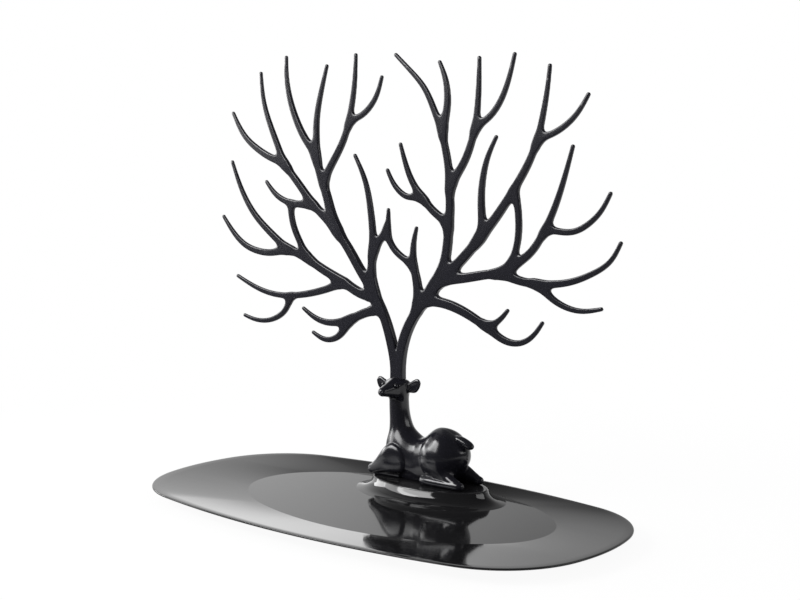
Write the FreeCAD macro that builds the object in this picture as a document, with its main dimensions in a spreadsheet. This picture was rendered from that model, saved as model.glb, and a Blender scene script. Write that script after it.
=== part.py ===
import FreeCAD, Part
import math
import os

import Sketcher

Vector = FreeCAD.Vector
X_AXIS = Vector(1, 0, 0)
Y_AXIS = Vector(0, 1, 0)
Z_AXIS = Vector(0, 0, 1)

os.makedirs("parts", exist_ok=True)
doc = FreeCAD.newDocument("JewelleryTree")

# Driving dimensions in millimetres, one alias each
driving = {
    # where the tray's middle and the antlers' trunk stand, so that the whole is centred
    "tray_offset": 12.1,
    "deer_offset": -11.4,
    # tray: the outer rim and the flat floor are ovals of eight tangent arcs
    "tray_length": 290.0,
    "tray_width": 152.0,
    "tray_end_radius": 116.0,
    "tray_side_radius": 520.0,
    "tray_corner_radius": 54.0,
    "rim_rise": 4.4,
    "rim_edge": 1.0,
    "rim_thickness": 1.6,
    "rim_round": 0.4,
    "floor_length": 200.0,
    "floor_width": 112.0,
    "floor_end_radius": 36.0,
    "floor_side_radius": 172.0,
    "floor_corner_radius": 78.0,
    "floor_setback": 14.0,
    "floor_thickness": 2.2,
    "floor_spread": 1.2,
    # mound that rises from the floor
    "mound_length": 78.0,
    "mound_width": 39.0,
    "mound_height": 7.5,
    "mound_flare_long": 10.0,
    "mound_flare_wide": 9.0,
    "mound_sink": 0.6,
    "mound_offset": 1.0,
    "mound_setback": 44.6,
    "mound_wall": 2.2,
    # anti-slip pads under the floor
    "pad_diameter": 10.0,
    "pad_thickness": 2.0,
    "pad_recess": 0.6,
    "pad_clearance": 0.2,
    "pad_spacing_long": 140.0,
    "pad_spacing_wide": 64.0,
    # deer
    "deer_setback": 46.0,
    "deer_length": 51.5,
    "deer_width": 27.6,
    "deer_height": 58.8,
    "head_length": 16.4,
    "head_width": 15.0,
    "head_height": 11.8,
    "ear_reach": 16.9,
    "peg_diameter": 5.0,
    "peg_length": 7.0,
    "peg_root": 8.0,
    "peg_clearance": 0.05,
    "front_peg_offset": 14.0,
    "back_peg_offset": 28.0,
    "peg_inset": 3.0,
    "boss_wall": 2.0,
    "boss_length": 8.0,
    # antlers
    "antler_reach": 146.0,
    "crown_height": 187.0,
    "trunk_width": 9.6,
    "stem_width": 6.3,
    "limb_width": 5.2,
    "branch_width": 3.9,
    "twig_width": 3.1,
    "tip_width": 2.2,
    "tenon_width": 5.6,
    "tenon_depth": 4.4,
    "tenon_length": 18.0,
    "tenon_root": 3.0,
    "tenon_clearance": 0.08,
    "slot_gap": 0.5,
    "seat_depth": 2.2,
    "seat_clearance": 0.3,
    # how far a cut runs past the face that it opens
    "overrun": 1.0,
}

sheet = doc.addObject("Spreadsheet::Sheet", "Sizes")
for row, (alias, value) in enumerate(driving.items(), start=1):
    sheet.set(f"A{row}", alias)
    sheet.set(f"B{row}", str(value))
    sheet.setAlias(f"B{row}", alias)
doc.recompute()


def size(alias):
    return float(sheet.get(alias))


# Expressions that several pieces share
stand_height = "(Sizes.pad_thickness - Sizes.pad_recess)"
floor_top = f"({stand_height} + Sizes.floor_thickness)"
rim_top = f"({floor_top} + Sizes.rim_rise)"
plateau_top = f"({floor_top} + Sizes.mound_height)"
head_top = f"({plateau_top} + Sizes.deer_height)"
trunk_foot = f"({head_top} - Sizes.seat_depth)"

# The same heights as numbers, for the freely curved forms
plateau_height = size("pad_thickness") - size("pad_recess") + size("floor_thickness") + size("mound_height")
crown_base = plateau_height + size("deer_height")


def bind(obj, **expressions):
    for name, expression in expressions.items():
        obj.setExpression(name, expression)


def place(obj, x="0", y="0", z="0"):
    obj.setExpression("Placement.Base.x", x)
    obj.setExpression("Placement.Base.y", y)
    obj.setExpression("Placement.Base.z", z)


def cylinder(name, diameter, height, x, y, z):
    obj = doc.addObject("Part::Cylinder", name)
    bind(obj, Radius=f"({diameter}) / 2", Height=height)
    place(obj, x, y, z)
    return obj


def box(name, length, width, height, x, y, z):
    obj = doc.addObject("Part::Box", name)
    bind(obj, Length=length, Width=width, Height=height)
    place(obj, x, y, z)
    return obj


def fuse(name, *pieces):
    obj = doc.addObject("Part::MultiFuse", name)
    obj.Shapes = list(pieces)
    return obj


def cut(name, base, tool):
    obj = doc.addObject("Part::Cut", name)
    obj.Base = base
    obj.Tool = tool
    return obj


def common(name, base, tool):
    obj = doc.addObject("Part::MultiCommon", name)
    obj.Shapes = [base, tool]
    return obj


def freeform(name, shape):
    obj = doc.addObject("Part::Feature", name)
    obj.Shape = shape
    return obj


def loft(name, sections):
    obj = doc.addObject("Part::Loft", name)
    obj.Sections = sections
    obj.Solid = True
    obj.Ruled = False
    return obj


# Tray

def corner_centre(half_length, half_width, end_radius, side_radius, corner_radius):
    # the corner arc touches the end arc and the side arc from inside
    end_centre = Vector(half_length - end_radius, 0, 0)
    side_centre = Vector(0, half_width - side_radius, 0)
    from_end = end_radius - corner_radius
    from_side = side_radius - corner_radius
    between = side_centre - end_centre
    span = between.Length
    along = (from_end**2 - from_side**2 + span**2) / (2 * span)
    across = math.copysign(math.sqrt(from_end**2 - along**2), from_end)
    between.normalize()
    return end_centre + between * along + Z_AXIS.cross(between) * across


def arc(centre, radius, start, stop):
    return Part.ArcOfCircle(Part.Circle(centre, Z_AXIS, radius), start, stop)


def oval_sketch(body, name, oval, outset, height, setback):
    # closed outline of eight tangent arcs, round from the +X end: end, corner, side, corner and so on
    grow = 0.0
    extra = ""
    if outset:
        sign, alias = outset
        grow = sign * size(alias)
        extra = f" {'+' if sign > 0 else '-'} Sizes.{alias}"
    half_length = size(f"{oval}_length") / 2
    half_width = size(f"{oval}_width") / 2
    end_radius = size(f"{oval}_end_radius")
    side_radius = size(f"{oval}_side_radius")
    corner_radius = size(f"{oval}_corner_radius")
    corner = corner_centre(half_length, half_width, end_radius, side_radius, corner_radius)
    end_x = half_length - end_radius
    side_y = half_width - side_radius
    from_end = end_radius - corner_radius
    lean = math.atan2(corner.y / from_end, (corner.x - end_x) / from_end)
    rise = math.atan2(corner.y - side_y, corner.x)
    turn = math.pi
    sketch = body.newObject("Sketcher::SketchObject", name)
    plane = [item for item in body.Origin.OriginFeatures if item.Role == "XY_Plane"][0]
    sketch.AttachmentSupport = [(plane, "")]
    sketch.MapMode = "FlatFace"
    sketch.setExpression("AttachmentOffset.Base.x", "Sizes.tray_offset")
    sketch.setExpression("AttachmentOffset.Base.y", setback)
    sketch.setExpression("AttachmentOffset.Base.z", height)
    arcs = [
        arc(Vector(end_x, 0, 0), end_radius + grow, -lean, lean),
        arc(Vector(corner.x, corner.y, 0), corner_radius + grow, lean, rise),
        arc(Vector(0, side_y, 0), side_radius + grow, rise, turn - rise),
        arc(Vector(-corner.x, corner.y, 0), corner_radius + grow, turn - rise, turn - lean),
        arc(Vector(-end_x, 0, 0), end_radius + grow, turn - lean, turn + lean),
        arc(Vector(-corner.x, -corner.y, 0), corner_radius + grow, turn + lean, turn + rise),
        arc(Vector(0, -side_y, 0), side_radius + grow, turn + rise, 2 * turn - rise),
        arc(Vector(corner.x, -corner.y, 0), corner_radius + grow, -rise, -lean),
    ]
    sketch.addGeometry(arcs, False)
    for index in range(len(arcs)):
        following = (index + 1) % len(arcs)
        sketch.addConstraint(Sketcher.Constraint("Tangent", index, 2, following, 1))
    for index in (0, 4):
        sketch.addConstraint(Sketcher.Constraint("PointOnObject", index, 3, -1))
    for index in (2, 6):
        sketch.addConstraint(Sketcher.Constraint("PointOnObject", index, 3, -2))
    radii = ["end", "corner", "side", "corner"] * 2
    for index, kind in enumerate(radii):
        radius = arcs[index].Radius
        number = sketch.addConstraint(Sketcher.Constraint("Radius", index, radius))
        alias = f"{oval}_{kind}_radius"
        sketch.setExpression(f"Constraints[{number}]", f"Sizes.{alias}{extra}")
    centres = [
        ("DistanceX", -1, 1, 0, 3, end_x, "length", "end"),
        ("DistanceX", 4, 3, -1, 1, end_x, "length", "end"),
        ("DistanceY", 2, 3, -1, 1, -side_y, "width", "side"),
        ("DistanceY", -1, 1, 6, 3, -side_y, "width", "side"),
    ]
    for kind, first, first_point, second, second_point, distance, extent, end in centres:
        number = sketch.addConstraint(
            Sketcher.Constraint(kind, first, first_point, second, second_point, distance)
        )
        half = f"Sizes.{oval}_{extent} / 2"
        radius = f"Sizes.{oval}_{end}_radius"
        expression = f"{half} - {radius}" if end == "end" else f"{radius} - {half}"
        sketch.setExpression(f"Constraints[{number}]", expression)
    return sketch


def tray_dish():
    body = doc.addObject("PartDesign::Body", "Dish")
    setback = "Sizes.floor_setback"
    under = oval_sketch(body, "UndersideOval", "floor", (1, "floor_spread"), stand_height, setback)
    edge = oval_sketch(body, "EdgeOval", "tray", None, f"{rim_top} - Sizes.rim_edge", "0")
    rim = oval_sketch(body, "RimOval", "tray", None, rim_top, "0")
    doc.recompute()
    outside = body.newObject("PartDesign::AdditiveLoft", "OuterForm")
    outside.Profile = under
    outside.Sections = [edge, rim]
    outside.Ruled = True
    doc.recompute()
    floor = oval_sketch(body, "FloorOval", "floor", None, floor_top, setback)
    lip = oval_sketch(body, "LipOval", "tray", (-1, "rim_thickness"), rim_top, "0")
    doc.recompute()
    inside = body.newObject("PartDesign::SubtractiveLoft", "Hollow")
    inside.Profile = floor
    inside.Sections = [lip]
    inside.Ruled = True
    body.Tip = inside
    doc.recompute()
    rim_face = max(inside.Shape.Faces, key=lambda face: face.BoundBox.ZMin)
    rim_edges = rim_face.OuterWire.Edges
    edges = [
        f"Edge{number}"
        for number, edge in enumerate(inside.Shape.Edges, start=1)
        if any(edge.isSame(other) for other in rim_edges)
    ]
    lip_round = body.newObject("PartDesign::Fillet", "LipRound")
    lip_round.Base = (inside, edges)
    bind(lip_round, Radius="Sizes.rim_round")
    body.Tip = lip_round
    return body


# height share up the mound, and how much of the flare is left there
mound_profile_shares = [(0.0, 1.0), (0.16, 0.52), (0.45, 0.2), (0.78, 0.05), (1.0, 0.0)]


def mound_form(name, inset, drop):
    sections = []
    for number, (height_share, flare_share) in enumerate(mound_profile_shares):
        ellipse = doc.addObject("Part::Ellipse", f"{name}Section{number}")
        bind(
            ellipse,
            MajorRadius=f"Sizes.mound_length / 2 + Sizes.mound_flare_long * {flare_share} - {inset}",
            MinorRadius=f"Sizes.mound_width / 2 + Sizes.mound_flare_wide * {flare_share} - {inset}",
        )
        rise = f"(Sizes.mound_height + Sizes.mound_sink) * {height_share}"
        height = f"{floor_top} - Sizes.mound_sink + {rise} - {drop}"
        place(ellipse, "Sizes.tray_offset + Sizes.mound_offset", "Sizes.mound_setback", height)
        sections.append(ellipse)
    return loft(name, sections)


peg_places = {
    "Front": ("Sizes.deer_offset + Sizes.front_peg_offset", "Sizes.deer_setback - Sizes.peg_inset"),
    "Back": ("Sizes.deer_offset + Sizes.back_peg_offset", "Sizes.deer_setback + Sizes.peg_inset"),
}
pad_signs = [(-1, -1), (1, -1), (1, 1), (-1, 1)]


def pad_place(signs):
    along = f"Sizes.tray_offset + {signs[0]} * Sizes.pad_spacing_long / 2"
    over = f"Sizes.floor_setback + {signs[1]} * Sizes.pad_spacing_wide / 2"
    return along, over


def tray():
    dish = tray_dish()
    mound = mound_form("Mound", "0", "0")
    hollow = mound_form("MoundHollow", "Sizes.mound_wall", "Sizes.mound_wall")
    bosses = []
    sockets = []
    for side, (x, y) in peg_places.items():
        boss_bottom = f"{plateau_top} - Sizes.boss_length"
        bosses.append(
            cylinder(
                f"{side}Boss",
                "Sizes.peg_diameter + 2 * Sizes.boss_wall",
                "Sizes.boss_length - Sizes.mound_wall / 2",
                x, y, boss_bottom,
            )
        )
        sockets.append(
            cylinder(
                f"{side}Socket",
                "Sizes.peg_diameter + 2 * Sizes.peg_clearance",
                "Sizes.boss_length + 2 * Sizes.overrun",
                x, y, f"{boss_bottom} - Sizes.overrun",
            )
        )
    for number, signs in enumerate(pad_signs, start=1):
        x, y = pad_place(signs)
        sockets.append(
            cylinder(
                f"PadRecess{number}",
                "Sizes.pad_diameter + 2 * Sizes.pad_clearance",
                "Sizes.pad_recess + Sizes.overrun",
                x, y, f"{stand_height} - Sizes.overrun",
            )
        )
    solid = fuse("TraySolid", dish, mound)
    open_mound = cut("TrayOpenMound", solid, hollow)
    with_bosses = fuse("TrayBosses", open_mound, *bosses)
    finished = cut("Tray", with_bosses, fuse("TrayCuts", *sockets))
    finished.Label = "tray"
    return finished


def foot_pads():
    pads = []
    for number, signs in enumerate(pad_signs, start=1):
        x, y = pad_place(signs)
        pads.append(cylinder(f"Pad{number}", "Sizes.pad_diameter", "Sizes.pad_thickness", x, y, "0"))
    group = doc.addObject("Part::Compound", "FootPads")
    group.Links = pads
    group.Label = "foot_pads"
    return group


# Deer

along_x = FreeCAD.Rotation(Z_AXIS, -Y_AXIS, X_AXIS, "ZXY")
along_y = FreeCAD.Rotation(X_AXIS, Z_AXIS, -Y_AXIS, "ZXY")
along_z = FreeCAD.Rotation()


def section(name, rotation, major, minor, x, y, z):
    ellipse = doc.addObject("Part::Ellipse", name)
    ellipse.Placement = FreeCAD.Placement(Vector(), rotation)
    bind(ellipse, MajorRadius=major, MinorRadius=minor)
    place(ellipse, x, y, z)
    return ellipse


def deer_x(share):
    return f"Sizes.deer_offset + Sizes.deer_length * {share}"


def deer_y(share):
    return f"Sizes.deer_setback + Sizes.deer_width * {share}"


def deer_z(share):
    return f"{plateau_top} + Sizes.deer_height * {share}"


# along the body: x, middle height, half width, half height
torso_shares = [
    (-0.09, 0.255, 0.123, 0.0935),
    (-0.02, 0.213, 0.26, 0.204),
    (0.117, 0.196, 0.319, 0.235),
    (0.272, 0.187, 0.34, 0.236),
    (0.37, 0.19, 0.355, 0.236),
    (0.485, 0.218, 0.391, 0.262),
    (0.583, 0.243, 0.42, 0.289),
    (0.67, 0.2585, 0.435, 0.289),
    (0.757, 0.282, 0.4275, 0.253),
    (0.845, 0.306, 0.37, 0.197),
    (0.913, 0.315, 0.275, 0.141),
    (0.961, 0.315, 0.159, 0.085),
    (0.986, 0.315, 0.036, 0.021),
]
# up the neck: height, x, half length, half width
neck_shares = [
    (0.143, 0.184, 0.223, 0.272),
    (0.286, 0.113, 0.225, 0.297),
    (0.393, 0.093, 0.194, 0.279),
    (0.481, 0.06, 0.1495, 0.25),
    (0.571, 0.037, 0.1243, 0.2246),
    (0.679, 0.021, 0.1146, 0.21),
    (0.821, 0.0155, 0.1117, 0.203),
    (0.912, 0.01, 0.1078, 0.199),
]
# from the back of the head to the nose: way forward, half width, underside, top
head_shares = [
    (0.335, 0.327, 0.017, 0.8),
    (0.122, 0.467, -0.085, 0.96),
    (-0.061, 0.5, -0.11, 0.99),
    (-0.244, 0.427, -0.076, 0.925),
    (-0.457, 0.33, -0.008, 0.81),
    (-0.67, 0.25, 0.05, 0.68),
    (-0.793, 0.21, 0.085, 0.61),
    (-0.933, 0.177, 0.11, 0.55),
    (-1.0, 0.107, 0.2, 0.46),
]
# out along the ear: way out, middle height, half height, half thickness
ear_shares = [
    (0.3, 0.4, 0.17, 0.144),
    (0.51, 0.44, 0.22, 0.136),
    (0.65, 0.5, 0.263, 0.119),
    (0.817, 0.6, 0.288, 0.102),
    (0.923, 0.678, 0.212, 0.08),
    (1.0, 0.73, 0.05, 0.03),
]
# down the limbs: x, way out from the middle, height, half height, half thickness
foreleg_shares = [
    (0.237, 0.29, 0.264, 0.078, 0.101),
    (0.159, 0.297, 0.2415, 0.126, 0.134),
    (0.05, 0.304, 0.2075, 0.133, 0.145),
    (-0.082, 0.297, 0.1395, 0.095, 0.13),
    (-0.204, 0.275, 0.0765, 0.058, 0.105),
    (-0.295, 0.257, 0.0425, 0.0357, 0.0725),
    (-0.33, 0.25, 0.032, 0.012, 0.022),
]
forearm_shares = [
    (-0.31, 0.254, 0.031, 0.0107, 0.0217),
    (-0.276, 0.25, 0.0357, 0.0357, 0.0725),
    (-0.082, 0.232, 0.0323, 0.0375, 0.076),
    (0.132, 0.21, 0.0306, 0.034, 0.0688),
]
shank_shares = [
    (0.4545, 0.333, 0.039, 0.0075, 0.0145),
    (0.476, 0.337, 0.041, 0.0315, 0.0616),
    (0.53, 0.344, 0.0425, 0.0435, 0.0906),
    (0.777, 0.355, 0.041, 0.0415, 0.087),
    (0.932, 0.351, 0.0425, 0.0452, 0.0942),
    (1.0, 0.348, 0.0425, 0.0435, 0.0906),
    (1.045, 0.344, 0.041, 0.029, 0.058),
    (1.06, 0.344, 0.039, 0.0075, 0.0145),
]
hock_shares = [
    (0.738, 0.275, 0.146, 0.085, 0.123),
    (0.8155, 0.2935, 0.126, 0.078, 0.12),
    (0.893, 0.3116, 0.105, 0.0714, 0.112),
    (0.971, 0.33, 0.078, 0.058, 0.1014),
    (1.029, 0.34, 0.058, 0.039, 0.08),
    (1.064, 0.344, 0.044, 0.0075, 0.0145),
]
# down the tail: x, height, half width, half thickness
tail_shares = [
    (0.854, 0.51, 0.0435, 0.01),
    (0.909, 0.498, 0.0725, 0.0238),
    (0.967, 0.473, 0.087, 0.0255),
    (1.021, 0.439, 0.0616, 0.0204),
    (1.056, 0.4116, 0.0145, 0.0051),
]
haunch_shares = {"x": 0.65, "out": 0.239, "height": 0.279, "length": 0.225, "width": 0.261, "tall": 0.228}
cavity_shares = {"x": 0.45, "height": 0.24, "length": 0.36, "width": 0.27, "tall": 0.16}
foreleg_tilt = -28
tail_tilt = 34


def torso():
    sections = [
        section(
            f"TorsoSection{number}", along_x,
            f"Sizes.deer_height * {tall}", f"Sizes.deer_width * {wide}",
            deer_x(x), deer_y(0), deer_z(height),
        )
        for number, (x, height, wide, tall) in enumerate(torso_shares)
    ]
    return loft("Torso", sections)


def neck():
    sections = [
        section(
            f"NeckSection{number}", along_z,
            f"Sizes.deer_length * {long}", f"Sizes.deer_width * {wide}",
            deer_x(x), deer_y(0), deer_z(height),
        )
        for number, (height, x, long, wide) in enumerate(neck_shares)
    ]
    return loft("Neck", sections)


head_base = f"({head_top} - Sizes.head_height)"


def head():
    sections = [
        section(
            f"HeadSection{number}", along_y,
            f"Sizes.head_width * {wide}", f"Sizes.head_height * {(top - under) / 2}",
            "Sizes.deer_offset", f"Sizes.deer_setback + Sizes.head_length * {forward}",
            f"{head_base} + Sizes.head_height * {(top + under) / 2}",
        )
        for number, (forward, wide, under, top) in enumerate(head_shares)
    ]
    return loft("Head", sections)


def ear(side):
    sections = [
        section(
            f"Ear{number}Side{side + 1}", along_x,
            f"Sizes.head_height * {tall}", f"Sizes.head_height * {thick}",
            f"Sizes.deer_offset + Sizes.ear_reach * {side * out}", "Sizes.deer_setback",
            f"{head_base} + Sizes.head_height * {height}",
        )
        for number, (out, height, tall, thick) in enumerate(ear_shares)
    ]
    return loft(f"EarSide{side + 1}", sections)


def limb(name, side, shares, tilt):
    rotation = FreeCAD.Rotation(Y_AXIS, tilt) * along_x
    sections = [
        section(
            f"{name}{number}Side{side + 1}", rotation,
            f"Sizes.deer_height * {tall}", f"Sizes.deer_width * {thick}",
            deer_x(x), deer_y(side * out), deer_z(height),
        )
        for number, (x, out, height, tall, thick) in enumerate(shares)
    ]
    return loft(f"{name}Side{side + 1}", sections)


def tail():
    axis = FreeCAD.Rotation(Y_AXIS, tail_tilt).multVec(X_AXIS)
    rotation = FreeCAD.Rotation(Y_AXIS, axis.cross(Y_AXIS), axis, "ZXY")
    sections = [
        section(
            f"TailSection{number}", rotation,
            f"Sizes.deer_width * {wide}", f"Sizes.deer_height * {thick}",
            deer_x(x), deer_y(0), deer_z(height),
        )
        for number, (x, height, wide, thick) in enumerate(tail_shares)
    ]
    return loft("Tail", sections)


def ellipsoid(name, shares, out):
    obj = doc.addObject("Part::Ellipsoid", name)
    bind(
        obj,
        Radius1=f"Sizes.deer_height * {shares['tall']}",
        Radius2=f"Sizes.deer_length * {shares['length']}",
        Radius3=f"Sizes.deer_width * {shares['width']}",
    )
    place(obj, deer_x(shares["x"]), deer_y(out), deer_z(shares["height"]))
    return obj


def deer_form():
    forms = [torso(), neck(), head(), tail()]
    for side in (-1, 1):
        forms.append(ear(side))
        forms.append(limb("Foreleg", side, foreleg_shares, foreleg_tilt))
        forms.append(limb("Forearm", side, forearm_shares, 0))
        forms.append(limb("Shank", side, shank_shares, 0))
        forms.append(limb("Hock", side, hock_shares, 0))
        forms.append(ellipsoid(f"HaunchSide{side + 1}", haunch_shares, side * haunch_shares["out"]))
    return fuse("DeerForm", *forms)


# thickness of an antler blade as a share of its width
blade_depth_share = 1.08
trunk_depth = f"Sizes.stem_width * {blade_depth_share}"


def centred_box(name, length, width, height, z):
    # upright box round the axis of the trunk
    return box(
        name, length, width, height,
        f"Sizes.deer_offset - ({length}) / 2", f"Sizes.deer_setback - ({width}) / 2", z,
    )


def deer_shells():
    slot_width = "Sizes.tenon_width + 2 * Sizes.tenon_clearance"
    slot_depth = "Sizes.tenon_depth + 2 * Sizes.tenon_clearance"
    slot_length = "Sizes.tenon_length + Sizes.slot_gap + Sizes.overrun"
    slot_bottom = f"{trunk_foot} - Sizes.tenon_length - Sizes.slot_gap"
    slot = centred_box("TenonSlot", slot_width, slot_depth, slot_length, slot_bottom)
    seat = centred_box(
        "TrunkSeat",
        "Sizes.trunk_width + 2 * Sizes.seat_clearance",
        f"{trunk_depth} + 2 * Sizes.seat_clearance",
        "Sizes.seat_depth + Sizes.overrun",
        trunk_foot,
    )
    ground = box(
        "GroundCut", "2 * Sizes.deer_length", "2 * Sizes.deer_width", "Sizes.deer_height",
        "Sizes.deer_offset - Sizes.deer_length / 2", "Sizes.deer_setback - Sizes.deer_width",
        f"{plateau_top} - Sizes.deer_height",
    )
    cavity = ellipsoid("BodyCavity", cavity_shares, 0)
    hollow = cut("DeerHollow", deer_form(), fuse("DeerCuts", fuse("TrunkCuts", slot, seat), ground, cavity))
    shells = []
    for side, label, start in (
        ("Front", "deer_front_shell", "Sizes.deer_setback - Sizes.deer_width"),
        ("Back", "deer_back_shell", "Sizes.deer_setback"),
    ):
        half = box(
            f"{side}Half", "2 * Sizes.deer_length", "Sizes.deer_width", "2 * Sizes.deer_height",
            "Sizes.deer_offset - Sizes.deer_length / 2", start, plateau_top,
        )
        x, y = peg_places[side]
        peg = cylinder(
            f"{side}Peg", "Sizes.peg_diameter", "Sizes.peg_length + Sizes.peg_root",
            x, y, f"{plateau_top} - Sizes.peg_length",
        )
        shell = fuse(f"Deer{side}Shell", common(f"{side}Body", hollow, half), peg)
        shell.Label = label
        shells.append(shell)
    return shells


# Antlers

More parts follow.
